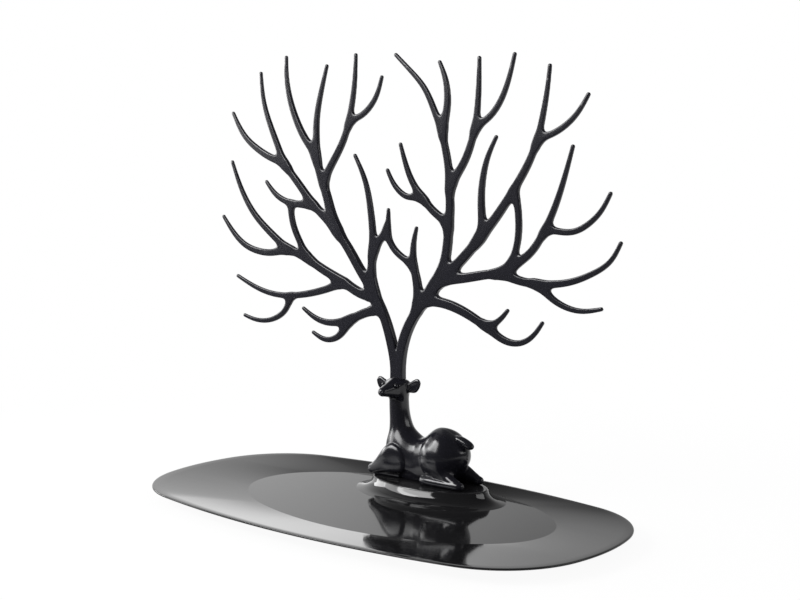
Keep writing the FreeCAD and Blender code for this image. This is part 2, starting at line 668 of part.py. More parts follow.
# width of each branch at its root, then places along its spine as shares of reach and crown height
spine_shares = {
    "left_inner": ("stem", [
        (-0.011, -0.03), (-0.011, 0.03), (-0.031, 0.1), (-0.053, 0.15), (-0.083, 0.2), (-0.123, 0.26),
        (-0.135, 0.34), (-0.13, 0.43), (-0.139, 0.5), (-0.169, 0.6), (-0.223, 0.68),
    ]),
    "right_q": ("stem", [
        (0.011, -0.03), (0.011, 0.03), (0.027, 0.1), (0.052, 0.15), (0.092, 0.2), (0.16, 0.27),
        (0.213, 0.33), (0.239, 0.385), (0.25, 0.45), (0.257, 0.53), (0.254, 0.58), (0.249, 0.64),
        (0.232, 0.705), (0.213, 0.755), (0.182, 0.81), (0.13, 0.882), (0.065, 0.933), (-0.01, 0.984),
    ]),
    "left_b": ("limb", [
        (-0.112, 0.245), (-0.185, 0.31), (-0.25, 0.377), (-0.35, 0.46), (-0.45, 0.522), (-0.55, 0.6),
        (-0.615, 0.655), (-0.654, 0.71), (-0.698, 0.78), (-0.734, 0.855), (-0.75, 0.95),
    ]),
    "left_d": ("limb", [
        (-0.3, 0.415), (-0.353, 0.5), (-0.376, 0.55), (-0.402, 0.6), (-0.426, 0.655), (-0.434, 0.72),
        (-0.43, 0.8), (-0.408, 0.875), (-0.373, 0.962),
    ]),
    "left_c": ("branch", [
        (-0.426, 0.65), (-0.45, 0.69), (-0.492, 0.73), (-0.549, 0.8), (-0.586, 0.875), (-0.6, 0.94),
        (-0.6, 0.997),
    ]),
    "left_e": ("branch", [
        (-0.392, 0.58), (-0.374, 0.62), (-0.349, 0.652), (-0.306, 0.7), (-0.27, 0.753), (-0.244, 0.82),
        (-0.225, 0.9), (-0.217, 0.991),
    ]),
    "left_f": ("twig", [
        (-0.262, 0.768), (-0.235, 0.788), (-0.195, 0.802), (-0.15, 0.825), (-0.11, 0.863),
        (-0.082, 0.919),
    ]),
    "left_a": ("branch", [
        (-0.585, 0.63), (-0.63, 0.655), (-0.69, 0.672), (-0.77, 0.7), (-0.85, 0.744), (-0.921, 0.822),
    ]),
    "left_h": ("branch", [
        (-0.44, 0.515), (-0.49, 0.52), (-0.55, 0.523), (-0.61, 0.531), (-0.67, 0.553), (-0.723, 0.593),
    ]),
    "left_link": ("twig", [
        (-0.583, 0.525), (-0.579, 0.49), (-0.566, 0.45), (-0.538, 0.408), (-0.495, 0.362),
        (-0.46, 0.337),
    ]),
    "left_g": ("limb", [
        (-0.11, 0.235), (-0.2, 0.248), (-0.275, 0.274), (-0.4, 0.314), (-0.5, 0.349), (-0.6, 0.376),
        (-0.7, 0.423), (-0.8, 0.486), (-0.882, 0.575), (-0.931, 0.658),
    ]),
    "left_j": ("branch", [
        (-0.57, 0.367), (-0.62, 0.366), (-0.7, 0.358), (-0.78, 0.361), (-0.86, 0.38), (-0.93, 0.42),
        (-0.99, 0.472),
    ]),
    "left_k": ("branch", [
        (-0.27, 0.274), (-0.32, 0.265), (-0.38, 0.251), (-0.47, 0.233), (-0.57, 0.221), (-0.67, 0.219),
        (-0.78, 0.234), (-0.905, 0.271),
    ]),
    "left_l": ("twig", [
        (-0.575, 0.22), (-0.592, 0.202), (-0.62, 0.17), (-0.67, 0.142), (-0.74, 0.127), (-0.81, 0.128),
        (-0.865, 0.138),
    ]),
    "left_m": ("limb", [
        (-0.085, 0.195), (-0.15, 0.19), (-0.22, 0.17), (-0.3, 0.15), (-0.37, 0.143), (-0.44, 0.152),
        (-0.513, 0.181),
    ]),
    "left_n": ("branch", [
        (-0.23, 0.167), (-0.262, 0.146), (-0.29, 0.12), (-0.335, 0.094), (-0.395, 0.087),
        (-0.458, 0.105),
    ]),
    "left_o": ("branch", [
        (-0.133, 0.36), (-0.112, 0.395), (-0.08, 0.43), (-0.056, 0.462), (-0.049, 0.513),
    ]),
    "right_p": ("limb", [
        (0.092, 0.2), (0.101, 0.245), (0.098, 0.29), (0.083, 0.34), (0.077, 0.39), (0.082, 0.425),
        (0.093, 0.46),
    ]),
    "right_r": ("branch", [
        (0.222, 0.73), (0.229, 0.775), (0.24, 0.82), (0.242, 0.86), (0.232, 0.905), (0.205, 0.955),
    ]),
    "right_s": ("branch", [
        (0.254, 0.57), (0.283, 0.615), (0.32, 0.658), (0.352, 0.71), (0.374, 0.77), (0.386, 0.85),
        (0.39, 0.961),
    ]),
    "right_t": ("twig", [
        (0.362, 0.74), (0.388, 0.764), (0.43, 0.787), (0.473, 0.82), (0.512, 0.875), (0.548, 0.966),
    ]),
    "right_u": ("branch", [
        (0.252, 0.455), (0.228, 0.484), (0.18, 0.512), (0.125, 0.552), (0.08, 0.592), (0.045, 0.643),
        (0.013, 0.714),
    ]),
    "right_v": ("twig", [
        (0.14, 0.541), (0.1, 0.552), (0.05, 0.555), (0.005, 0.573), (-0.03, 0.603), (-0.053, 0.635),
    ]),
    "right_x": ("limb", [
        (0.2, 0.31), (0.28, 0.35), (0.35, 0.4), (0.43, 0.465), (0.5, 0.53), (0.565, 0.6), (0.61, 0.655),
        (0.648, 0.72), (0.672, 0.79), (0.69, 0.865), (0.7, 0.929),
    ]),
    "right_y": ("twig", [
        (0.64, 0.7), (0.66, 0.722), (0.705, 0.738), (0.76, 0.759), (0.815, 0.795), (0.861, 0.846),
    ]),
    "right_w": ("branch", [
        (0.37, 0.415), (0.4, 0.45), (0.406, 0.5), (0.403, 0.555), (0.41, 0.615), (0.43, 0.673),
        (0.469, 0.733),
    ]),
    "right_bb": ("limb", [
        (0.16, 0.27), (0.21, 0.298), (0.3, 0.315), (0.4, 0.329), (0.49, 0.336), (0.58, 0.322),
        (0.68, 0.317), (0.79, 0.327), (0.89, 0.356), (0.96, 0.393), (1, 0.443),
    ]),
    "right_cc": ("twig", [
        (0.63, 0.321), (0.67, 0.305), (0.71, 0.283), (0.77, 0.259), (0.845, 0.249), (0.926, 0.259),
    ]),
    "right_link": ("twig", [
        (0.55, 0.585), (0.562, 0.555), (0.572, 0.5), (0.571, 0.45), (0.553, 0.395), (0.52, 0.35),
    ]),
    "right_z": ("branch", [
        (0.46, 0.333), (0.515, 0.35), (0.57, 0.372), (0.63, 0.408), (0.68, 0.462), (0.716, 0.515),
        (0.75, 0.58), (0.8, 0.705),
    ]),
    "right_aa": ("twig", [
        (0.675, 0.455), (0.7, 0.467), (0.75, 0.468), (0.81, 0.47), (0.87, 0.493), (0.92, 0.53),
        (0.956, 0.577),
    ]),
    "right_dd": ("limb", [
        (0.12, 0.232), (0.16, 0.239), (0.2, 0.24), (0.28, 0.229), (0.37, 0.202), (0.455, 0.167),
        (0.53, 0.141), (0.595, 0.144), (0.645, 0.17), (0.68, 0.205),
    ]),
    "right_ee": ("twig", [
        (0.41, 0.187), (0.44, 0.186), (0.475, 0.195), (0.503, 0.212), (0.526, 0.232),
    ]),
    "bridge": ("twig", [
        (-0.055, 0.465), (-0.05, 0.435), (-0.027, 0.4), (0.01, 0.375), (0.045, 0.358), (0.077, 0.335),
    ]),
}
# branches that end on another branch keep their width to the end
linking_branches = ("left_link", "right_link", "bridge")
taper_power = 1.4
# how far the tapering wedge runs past the branch at both ends, and how broad it is, as shares of the chord
wedge_over_share = 0.25
wedge_broad_share = 3.0


def wedge(root, tip, root_depth, tip_depth):
    # long prism whose thickness in y falls from the root's depth to the tip's
    chord = tip - root
    length = chord.Length
    axis = chord.normalize()
    side = axis.cross(Y_AXIS)
    corners = []
    for share, sign in (
        (-wedge_over_share, -1), (1 + wedge_over_share, -1),
        (1 + wedge_over_share, 1), (-wedge_over_share, 1),
    ):
        depth = root_depth + (tip_depth - root_depth) * share
        corners.append(root + axis * (share * length) + Y_AXIS * (sign * depth / 2))
    face = Part.Face(Part.makePolygon(corners + corners[:1]))
    face.translate(side * (-wedge_broad_share * length / 2))
    return face.extrude(side * (wedge_broad_share * length))


def spline(points):
    curve = Part.BSplineCurve()
    curve.interpolate(points)
    return curve


def blade(name):
    # flat branch with a curved, tapering outline and a thickness that tapers with it
    kind, shares = spine_shares[name]
    root_width = size(f"{kind}_width")
    tip_width = size("twig_width") if name in linking_branches else size("tip_width")
    points = [
        Vector(
            size("deer_offset") + across * size("antler_reach"),
            size("deer_setback"),
            crown_base + up * size("crown_height"),
        )
        for across, up in shares
    ]
    spine = spline(points)
    left = []
    right = []
    for point in points:
        here = spine.parameter(point)
        travelled = spine.length(spine.FirstParameter, here) if here > spine.FirstParameter else 0.0
        way_share = travelled / spine.length()
        normal = spine.tangent(here)[0].cross(Y_AXIS).normalize()
        half = (root_width + (tip_width - root_width) * way_share**taper_power) / 2
        left.append(point - normal * half)
        right.append(point + normal * half)
    end = points[-1] + spine.tangent(spine.LastParameter)[0] * (tip_width / 2)
    outline = [
        spline(right).toShape(),
        Part.Arc(right[-1], end, left[-1]).toShape(),
        spline(left).toShape(),
        Part.LineSegment(left[0], right[0]).toShape(),
    ]
    face = Part.Face(Part.Wire(Part.__sortEdges__(outline)))
    face.translate(Y_AXIS * -root_width)
    plate = face.extrude(Y_AXIS * (2 * root_width))
    root_depth = root_width * blade_depth_share
    tip_depth = tip_width * blade_depth_share
    return plate.common(wedge(points[0], points[-1], root_depth, tip_depth))


def antler_tree():
    fan = blade("left_inner")
    for name in spine_shares:
        if name != "left_inner":
            fan = fan.fuse(blade(name))
    fan_feature = freeform("AntlerFan", fan)
    foot = box(
        "FootCut", "2 * Sizes.trunk_width", "2 * Sizes.trunk_width", "Sizes.trunk_width",
        "Sizes.deer_offset - Sizes.trunk_width", "Sizes.deer_setback - Sizes.trunk_width",
        f"{trunk_foot} - Sizes.trunk_width",
    )
    tenon = centred_box(
        "Tenon", "Sizes.tenon_width", "Sizes.tenon_depth",
        "Sizes.tenon_length + Sizes.tenon_root", f"{trunk_foot} - Sizes.tenon_length",
    )
    tree = fuse("AntlerTree", cut("FanOnSeat", fan_feature, foot), tenon)
    tree.Label = "antler_tree"
    return tree


pieces = [tray(), foot_pads(), *deer_shells(), antler_tree()]
doc.recompute()

for item in doc.Objects:
    if "Invalid" in item.State or "Error" in item.State:
        raise RuntimeError(f"{item.Name} did not compute")
for piece in pieces:
    if piece.Shape.isNull() or not piece.Shape.isValid():
        raise RuntimeError(f"{piece.Label} has no valid shape")
    piece.Shape.exportStep(f"parts/{piece.Label}.step")
    print(piece.Label, len(piece.Shape.Solids), "solid", round(piece.Shape.Volume), "cubic mm")
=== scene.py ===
import math

import bmesh
import bpy
import numpy as np
import openvdb
from mathutils import Matrix, Quaternion, Vector


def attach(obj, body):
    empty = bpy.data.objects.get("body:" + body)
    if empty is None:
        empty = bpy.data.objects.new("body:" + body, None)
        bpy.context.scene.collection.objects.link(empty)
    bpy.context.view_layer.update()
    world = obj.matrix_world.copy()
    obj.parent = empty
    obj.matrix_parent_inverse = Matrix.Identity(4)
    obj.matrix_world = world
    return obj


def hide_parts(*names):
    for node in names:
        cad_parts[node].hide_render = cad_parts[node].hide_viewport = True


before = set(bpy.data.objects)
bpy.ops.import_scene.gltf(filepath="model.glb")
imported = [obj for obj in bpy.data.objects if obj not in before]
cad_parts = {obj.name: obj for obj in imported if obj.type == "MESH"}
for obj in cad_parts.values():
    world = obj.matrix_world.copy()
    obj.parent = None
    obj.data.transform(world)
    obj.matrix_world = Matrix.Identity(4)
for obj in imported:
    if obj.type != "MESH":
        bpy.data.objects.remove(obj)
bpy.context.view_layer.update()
mm = 0.001
print("frame loaded:", sorted(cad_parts))

# heights shared by all pieces in mm above the table, and where the tray and the deer stand
levels = {
    "underside": 1.4, "floor": 3.6, "rim": 8.0, "plateau": 11.1, "trunkFoot": 67.7,
    "trayX": 12.1, "deerX": -11.4, "middle": 46.0,
}


# shader maths

class Sock:
    def __init__(self, tree, out):
        self.tree = tree
        self.out = out

    def math(self, operation, left, right):
        node = self.tree.nodes.new("ShaderNodeMath")
        node.operation = operation
        for socket, value in zip(node.inputs, (left, right)):
            if isinstance(value, Sock):
                self.tree.links.new(value.out, socket)
            else:
                socket.default_value = value
        return Sock(self.tree, node.outputs[0])

    def __add__(self, other):
        return self.math("ADD", self, other)

    __radd__ = __add__

    def __sub__(self, other):
        return self.math("SUBTRACT", self, other)

    def __rsub__(self, other):
        return self.math("SUBTRACT", other, self)

    def __mul__(self, other):
        return self.math("MULTIPLY", self, other)

    __rmul__ = __mul__


class Finish:
    def __init__(self, name):
        self.material = bpy.data.materials.new(name)
        self.material.use_nodes = True
        self.tree = self.material.node_tree
        self.tree.nodes.clear()

    def make(self, kind, settings=None, output=0, **inputs):
        return makeNode(self.tree, kind, settings, output, **inputs)


def makeNode(tree, kind, settings=None, output=0, **inputs):
    node = tree.nodes.new(kind)
    for key, value in (settings or {}).items():
        if key == "stops":
            stops = node.color_ramp.elements
            while len(stops) < len(value):
                stops.new(1.0)
            for stop, (position, grey) in zip(stops, value):
                stop.position = position
                stop.color = (grey, grey, grey, 1.0)
        else:
            setattr(node, key, value)
    for key, value in inputs.items():
        numbered = key[0] == "n" and key[1:].isdigit()
        socket = node.inputs[int(key[1:]) if numbered else key.replace("_", " ")]
        if isinstance(value, Sock):
            tree.links.new(value.out, socket)
        else:
            socket.default_value = value
    return Sock(tree, node.outputs[output]) if node.outputs else None


# finishes

trayFinish = {
    "colour": (0.0060, 0.0060, 0.0066, 1.0), "haze": (0.0120, 0.0118, 0.0125, 1.0),
    "roughness": 0.07, "roughnessSpread": 0.05, "waveSize": 22.0, "waveDepth": 0.00004, "ior": 1.46,
}
deerFinish = {
    "colour": (0.0055, 0.0055, 0.0078, 1.0), "haze": (0.0100, 0.0100, 0.0138, 1.0),
    "roughness": 0.19, "roughnessSpread": 0.06, "waveSize": 900.0, "waveDepth": 0.00001, "ior": 1.47,
}
antlerFinish = {
    "colour": (0.0070, 0.0070, 0.0100, 1.0), "haze": (0.0120, 0.0120, 0.0170, 1.0),
    "roughness": 0.23, "roughnessSpread": 0.03, "waveSize": 1400.0, "waveDepth": 0.000004, "ior": 1.43,
}
padFinish = {
    "colour": (0.020, 0.020, 0.020, 1.0), "haze": (0.034, 0.033, 0.032, 1.0),
    "roughness": 0.72, "roughnessSpread": 0.18, "waveSize": 2600.0, "waveDepth": 0.00006, "ior": 1.5,
}


plasticTexture = {
    "cloud": {"Scale": 36.0, "Detail": 5.0, "Roughness": 0.6},
    "grain": {"Scale": 2400.0, "Detail": 3.0, "Roughness": 0.55},
    "wave": {"Detail": 2.0, "Roughness": 0.5},
    "cloudShare": 0.7, "grainRoughness": 0.4, "bumpStrength": 0.6,
}


def mouldedPlastic(name, look):
    finish = Finish(name)
    t = plasticTexture
    place = finish.make("ShaderNodeTexCoord", output="Object")
    cloud = finish.make("ShaderNodeTexNoise", Vector=place, **t["cloud"])
    grain = finish.make("ShaderNodeTexNoise", Vector=place, **t["grain"])
    wave = finish.make("ShaderNodeTexNoise", Vector=place, Scale=look["waveSize"], **t["wave"])
    colour = finish.make(
        "ShaderNodeMix", {"data_type": "RGBA"}, output=2,
        n0=cloud * t["cloudShare"] + grain * (1 - t["cloudShare"]), n6=look["colour"], n7=look["haze"],
    )
    spread = look["roughnessSpread"]
    rough = look["roughness"] + (cloud - 0.5) * spread + (grain - 0.5) * spread * t["grainRoughness"]
    bump = finish.make("ShaderNodeBump", Strength=t["bumpStrength"], Distance=look["waveDepth"], Height=wave)
    shader = finish.make(
        "ShaderNodeBsdfPrincipled", Base_Color=colour, Roughness=rough, IOR=look["ior"], Normal=bump,
    )
    finish.make("ShaderNodeOutputMaterial", Surface=shader)
    return finish.material


materials = {
    "tray": mouldedPlastic("trayGlossBlack", trayFinish),
    "deer": mouldedPlastic("deerSatinBlack", deerFinish),
    "antlers": mouldedPlastic("antlerSatinBlack", antlerFinish),
    "pads": mouldedPlastic("padRubberBlack", padFinish),
}
print("finishes made:", len(materials))


# mesh helpers

def addObject(name, mesh, material):
    mesh.materials.clear()
    mesh.materials.append(material)
    obj = bpy.data.objects.new(name, mesh)
    bpy.context.scene.collection.objects.link(obj)
    return obj


def meshFrom(name, points, faces):
    mesh = bpy.data.meshes.new(name)
    mesh.from_pydata(points, [], faces)
    work = bmesh.new()
    work.from_mesh(mesh)
    bmesh.ops.recalc_face_normals(work, faces=work.faces)
    work.to_mesh(mesh)
    work.free()
    return mesh


def applied(obj):
    # the evaluated shape as a plain mesh, with no modifier left
    depsgraph = bpy.context.evaluated_depsgraph_get()
    mesh = bpy.data.meshes.new_from_object(obj.evaluated_get(depsgraph))
    old = obj.data
    obj.modifiers.clear()
    obj.data = mesh
    bpy.data.meshes.remove(old)
    return obj


def splineThrough(points, count):
    # smooth curve through the points, sampled evenly between them (natural cubic on chord length)
    points = np.asarray(points, float)
    steps = np.maximum(np.linalg.norm(np.diff(points, axis=0), axis=1), 1e-9)
    at = np.concatenate([[0.0], np.cumsum(steps)])
    n = len(points)
    lhs = np.zeros((n, n))
    rhs = np.zeros_like(points)
    lhs[0, 0] = lhs[-1, -1] = 1.0
    for i in range(1, n - 1):
        lhs[i, i - 1] = steps[i - 1]
        lhs[i, i] = 2 * (steps[i - 1] + steps[i])
        lhs[i, i + 1] = steps[i]
        rhs[i] = 6 * ((points[i + 1] - points[i]) / steps[i] - (points[i] - points[i - 1]) / steps[i - 1])
    curve = np.linalg.solve(lhs, rhs)
    wanted = np.linspace(0.0, at[-1], count)
    i = np.clip(np.searchsorted(at, wanted, side="right") - 1, 0, n - 2)
    h = steps[i][:, None]
    a = (at[i + 1] - wanted)[:, None] / h
    b = (wanted - at[i])[:, None] / h
    bend = ((a**3 - a) * curve[i] + (b**3 - b) * curve[i + 1]) * h**2 / 6
    return a * points[i] + b * points[i + 1] + bend


def meshFromField(name, field, low, voxel):
    # surface where the signed distance field is zero; the field is negative inside
    grid = openvdb.FloatGrid(float(field.max()))
    grid.copyFromArray(np.ascontiguousarray(field, np.float32))
    points, triangles, quads = grid.convertToPolygons(isovalue=0.0, adaptivity=0.0)
    points = (points * voxel + np.asarray(low)) * mm
    return meshFrom(name, points.tolist(), triangles.tolist() + quads.tolist())


def creaseEdges(mesh, degrees, smoothBand=(0.0, 0.0), bandDegrees=30.0):
    # smooth shading all over, with true creases kept; between the band's two heights only sharp ones count
    low, high = smoothBand
    work = bmesh.new()
    work.from_mesh(mesh)
    for face in work.faces:
        face.smooth = True
    for edge in work.edges:
        if len(edge.link_faces) == 2:
            inBand = all(low < v.co.z < high for v in edge.verts)
            edge.smooth = edge.calc_face_angle(0.0) < math.radians(bandDegrees if inBand else degrees)
    work.to_mesh(mesh)
    work.free()


def blended(first, second, reach):
    # union of two fields with a fillet about as wide as reach
    mix = np.clip(0.5 + 0.5 * (second - first) / reach, 0.0, 1.0)
    return second + (first - second) * mix - reach * mix * (1.0 - mix)


# tray

traySettings = {
    "halfLength": 145.0, "halfWidth": 76.0, "rimRadii": (116.0, 520.0, 54.0),
    "floorHalfLength": 100.0, "floorHalfWidth": 56.0, "floorRadii": (36.0, 172.0, 78.0), "floorBack": 14.0,
    "lipWidth": 1.6, "lipRound": 0.4, "lipHeight": 1.0, "spread": 1.2,
    "mound": (1.0, 44.6), "moundHalf": (39.0, 19.5), "flare": (10.0, 9.0), "wall": 2.2, "edgeRound": 1.2,
    "moundProfile": [(0.0, 1.06), (0.045, 0.86), (0.16, 0.52), (0.45, 0.2), (0.78, 0.05), (0.88, 0.012)],
    "pegs": [(-9.5, 43.0), (4.5, 49.0)], "socketRadius": 2.55, "bossRadius": 4.5, "bossLength": 8.0,
    "padSpots": [(-70.0, -18.0), (70.0, -18.0), (70.0, 46.0), (-70.0, 46.0)],
    "padRadius": 5.0, "padRecess": 0.6, "padGap": 0.2, "overrun": 1.0,
    "perArc": 30, "profileSteps": 44, "plateauShares": (0.25, 0.5, 0.75, 0.9), "ceilingInset": 1.6,
    "creaseAngle": 3.4, "lipMargin": 0.1,
}


def ovalRing(halfLength, halfWidth, radii, grow, back):
    endRadius, sideRadius, cornerRadius = radii
    endCentre = np.array([halfLength - endRadius, 0.0])
    sideCentre = np.array([0.0, halfWidth - sideRadius])
    fromEnd, fromSide = endRadius - cornerRadius, sideRadius - cornerRadius
    between = sideCentre - endCentre
    span = np.linalg.norm(between)
    along = (fromEnd**2 - fromSide**2 + span**2) / (2 * span)
    across = math.copysign(math.sqrt(fromEnd**2 - along**2), fromEnd)
    between /= span
    corner = endCentre + between * along + np.array([-between[1], between[0]]) * across
    lean = math.atan2(corner[1] / fromEnd, (corner[0] - endCentre[0]) / fromEnd)
    rise = math.atan2(corner[1] - sideCentre[1], corner[0])
    turn = math.pi
    arcs = [
        (endCentre, endRadius, -lean, lean),
        (corner, cornerRadius, lean, rise),
        (sideCentre, sideRadius, rise, turn - rise),
        (corner * (-1, 1), cornerRadius, turn - rise, turn - lean),
        (-endCentre, endRadius, turn - lean, turn + lean),
        (-corner, cornerRadius, turn + lean, turn + rise),
        (-sideCentre, sideRadius, turn + rise, 2 * turn - rise),
        (corner * (1, -1), cornerRadius, 2 * turn - rise, 2 * turn - lean),
    ]
    ring = []
    for centre, radius, start, stop in arcs:
        for angle in np.linspace(start, stop, traySettings["perArc"], endpoint=False):
            ring.append(centre + (radius + grow) * np.array([math.cos(angle), math.sin(angle)]))
    return np.array(ring) + (0.0, back)


def cylinderMesh(name, spots, radius, low, high, segments=96):
    work = bmesh.new()
    for x, y in spots:
        rings = []
        for z in (low, high):
            rings.append([
                work.verts.new((
                    (x + radius * math.cos(2 * math.pi * k / segments)) * mm,
                    (y + radius * math.sin(2 * math.pi * k / segments)) * mm, z * mm,
                ))
                for k in range(segments)
            ])
        for k in range(segments):
            follow = (k + 1) % segments
            work.faces.new((rings[0][k], rings[0][follow], rings[1][follow], rings[1][k]))
        work.faces.new(rings[0][::-1])
        work.faces.new(rings[1])
    mesh = bpy.data.meshes.new(name)
    bmesh.ops.recalc_face_normals(work, faces=work.faces)
    work.to_mesh(mesh)
    work.free()
    return mesh


def cutWith(obj, toolMesh, operation):
    tool = bpy.data.objects.new("tool", toolMesh)
    bpy.context.scene.collection.objects.link(tool)
    step = obj.modifiers.new("cut", "BOOLEAN")
    step.operation = operation
    step.solver = "EXACT"
    step.object = tool
    applied(obj)
    bpy.data.objects.remove(tool)
    bpy.data.meshes.remove(toolMesh)


def buildTray(s):
    z0, zFloor, zRim, zTop = levels["underside"], levels["floor"], levels["rim"], levels["plateau"]
    floorOval = (s["floorHalfLength"], s["floorHalfWidth"], s["floorRadii"])
    floorRing = ovalRing(*floorOval, 0.0, s["floorBack"])
    underRing = ovalRing(*floorOval, s["spread"], s["floorBack"])
    count = len(floorRing)
    turn = np.arctan2(
        (floorRing[:, 1] - s["floorBack"]) / s["floorHalfWidth"], floorRing[:, 0] / s["floorHalfLength"]
    )
    middle = np.array(s["mound"])
    height, edge, bead, wall = zTop - zFloor, s["edgeRound"], s["lipRound"], s["wall"]

    def rimRing(inset):
        return ovalRing(s["halfLength"], s["halfWidth"], s["rimRadii"], -inset, 0.0)

    def moundRing(flare, inset=0.0):
        a, b = np.array(s["moundHalf"]) + np.array(s["flare"]) * flare - inset
        return middle + np.stack([a * np.cos(turn), b * np.sin(turn)], axis=1)

    def between(first, second, share):
        return first * (1 - share) + second * share

    profile = splineThrough(s["moundProfile"], s["profileSteps"])
    rings = []  # from the plateau's middle out over the top, round the lip and back underneath
    for share in s["plateauShares"]:
        rings.append((between(middle, moundRing(0.0), share), zTop))
    for turned in np.radians(np.linspace(90, 12, 9)):
        rings.append((moundRing(0.0, edge - edge * math.cos(turned)), zTop - edge + edge * math.sin(turned)))
    for h, f in profile[::-1]:
        rings.append((moundRing(f), zFloor + height * h))
    base = rings[-1][0]
    for share in (0.33, 0.66, 1.0):
        rings.append((between(base, floorRing, share), zFloor))
    inner = rimRing(s["lipWidth"])
    for share in np.linspace(0.0, 1.0, 12)[1:]:
        rings.append((between(floorRing, inner, share), between(zFloor, zRim, share)))
    for level, start, stop, steps in ((zRim - bead, 90, 0, 6), (zRim - s["lipHeight"] + bead, 0, -70, 5)):
        for turned in np.radians(np.linspace(start, stop, steps)):
            rings.append((rimRing(bead - bead * math.cos(turned)), level + bead * math.sin(turned)))
    outer, low = rings[-1]
    for share in np.linspace(0.0, 1.0, 8)[1:]:
        rings.append((between(outer, underRing, share), between(low, z0, share)))
    hollow = [(h, f) for h, f in profile if zFloor + height * h - wall > z0]
    mouth = moundRing(hollow[0][1], wall)
    for share in (0.33, 0.66, 1.0):
        rings.append((between(underRing, mouth, share), z0))
    for h, f in hollow[1:]:
        rings.append((moundRing(f, wall), zFloor + height * h - wall))
    ceiling = moundRing(0.0, wall * s["ceilingInset"])
    for share in (1.0, 0.6, 0.3):
        rings.append((between(middle, ceiling, share), zTop - wall))
    points = [(middle[0] * mm, middle[1] * mm, zTop * mm)]
    for ring, z in rings:
        points.extend((x * mm, y * mm, z * mm) for x, y in ring)
    points.append((middle[0] * mm, middle[1] * mm, (zTop - wall) * mm))
    pairs = [(k, (k + 1) % count) for k in range(count)]
    faces = [(0, 1 + k, 1 + n) for k, n in pairs]
    for r in range(len(rings) - 1):
        a, b = 1 + r * count, 1 + (r + 1) * count
        faces.extend((a + k, b + k, b + n, a + n) for k, n in pairs)
    last = 1 + (len(rings) - 1) * count
    faces.extend((len(points) - 1, last + n, last + k) for k, n in pairs)
    tray = addObject("trayDish", meshFrom("trayDish", points, faces), materials["tray"])
    bossLow, over, recess = zTop - s["bossLength"], s["overrun"], s["padRadius"] + s["padGap"]
    for name, spots, radius, low, high, operation in (
        ("bosses", s["pegs"], s["bossRadius"], bossLow, zTop - wall / 2, "UNION"),
        ("sockets", s["pegs"], s["socketRadius"], bossLow - over, zTop + over, "DIFFERENCE"),
        ("recesses", s["padSpots"], recess, z0 - over, z0 + s["padRecess"], "DIFFERENCE"),
    ):
        cutWith(tray, cylinderMesh(name, spots, radius, low, high), operation)
    tray.data.transform(Matrix.Translation((levels["trayX"] * mm, 0, 0)))
    lipLow, lipHigh = zRim - s["lipHeight"] - s["lipMargin"], zRim + s["lipMargin"]
    creaseEdges(tray.data, s["creaseAngle"], (lipLow * mm, lipHigh * mm))
    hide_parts("tray")
    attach(tray, "tray_body")
    return tray


tray = buildTray(traySettings)
print("tray made:", len(tray.data.polygons), "faces")


# antlers: a flat fan of branches, each a spine with a width that narrows to its tip

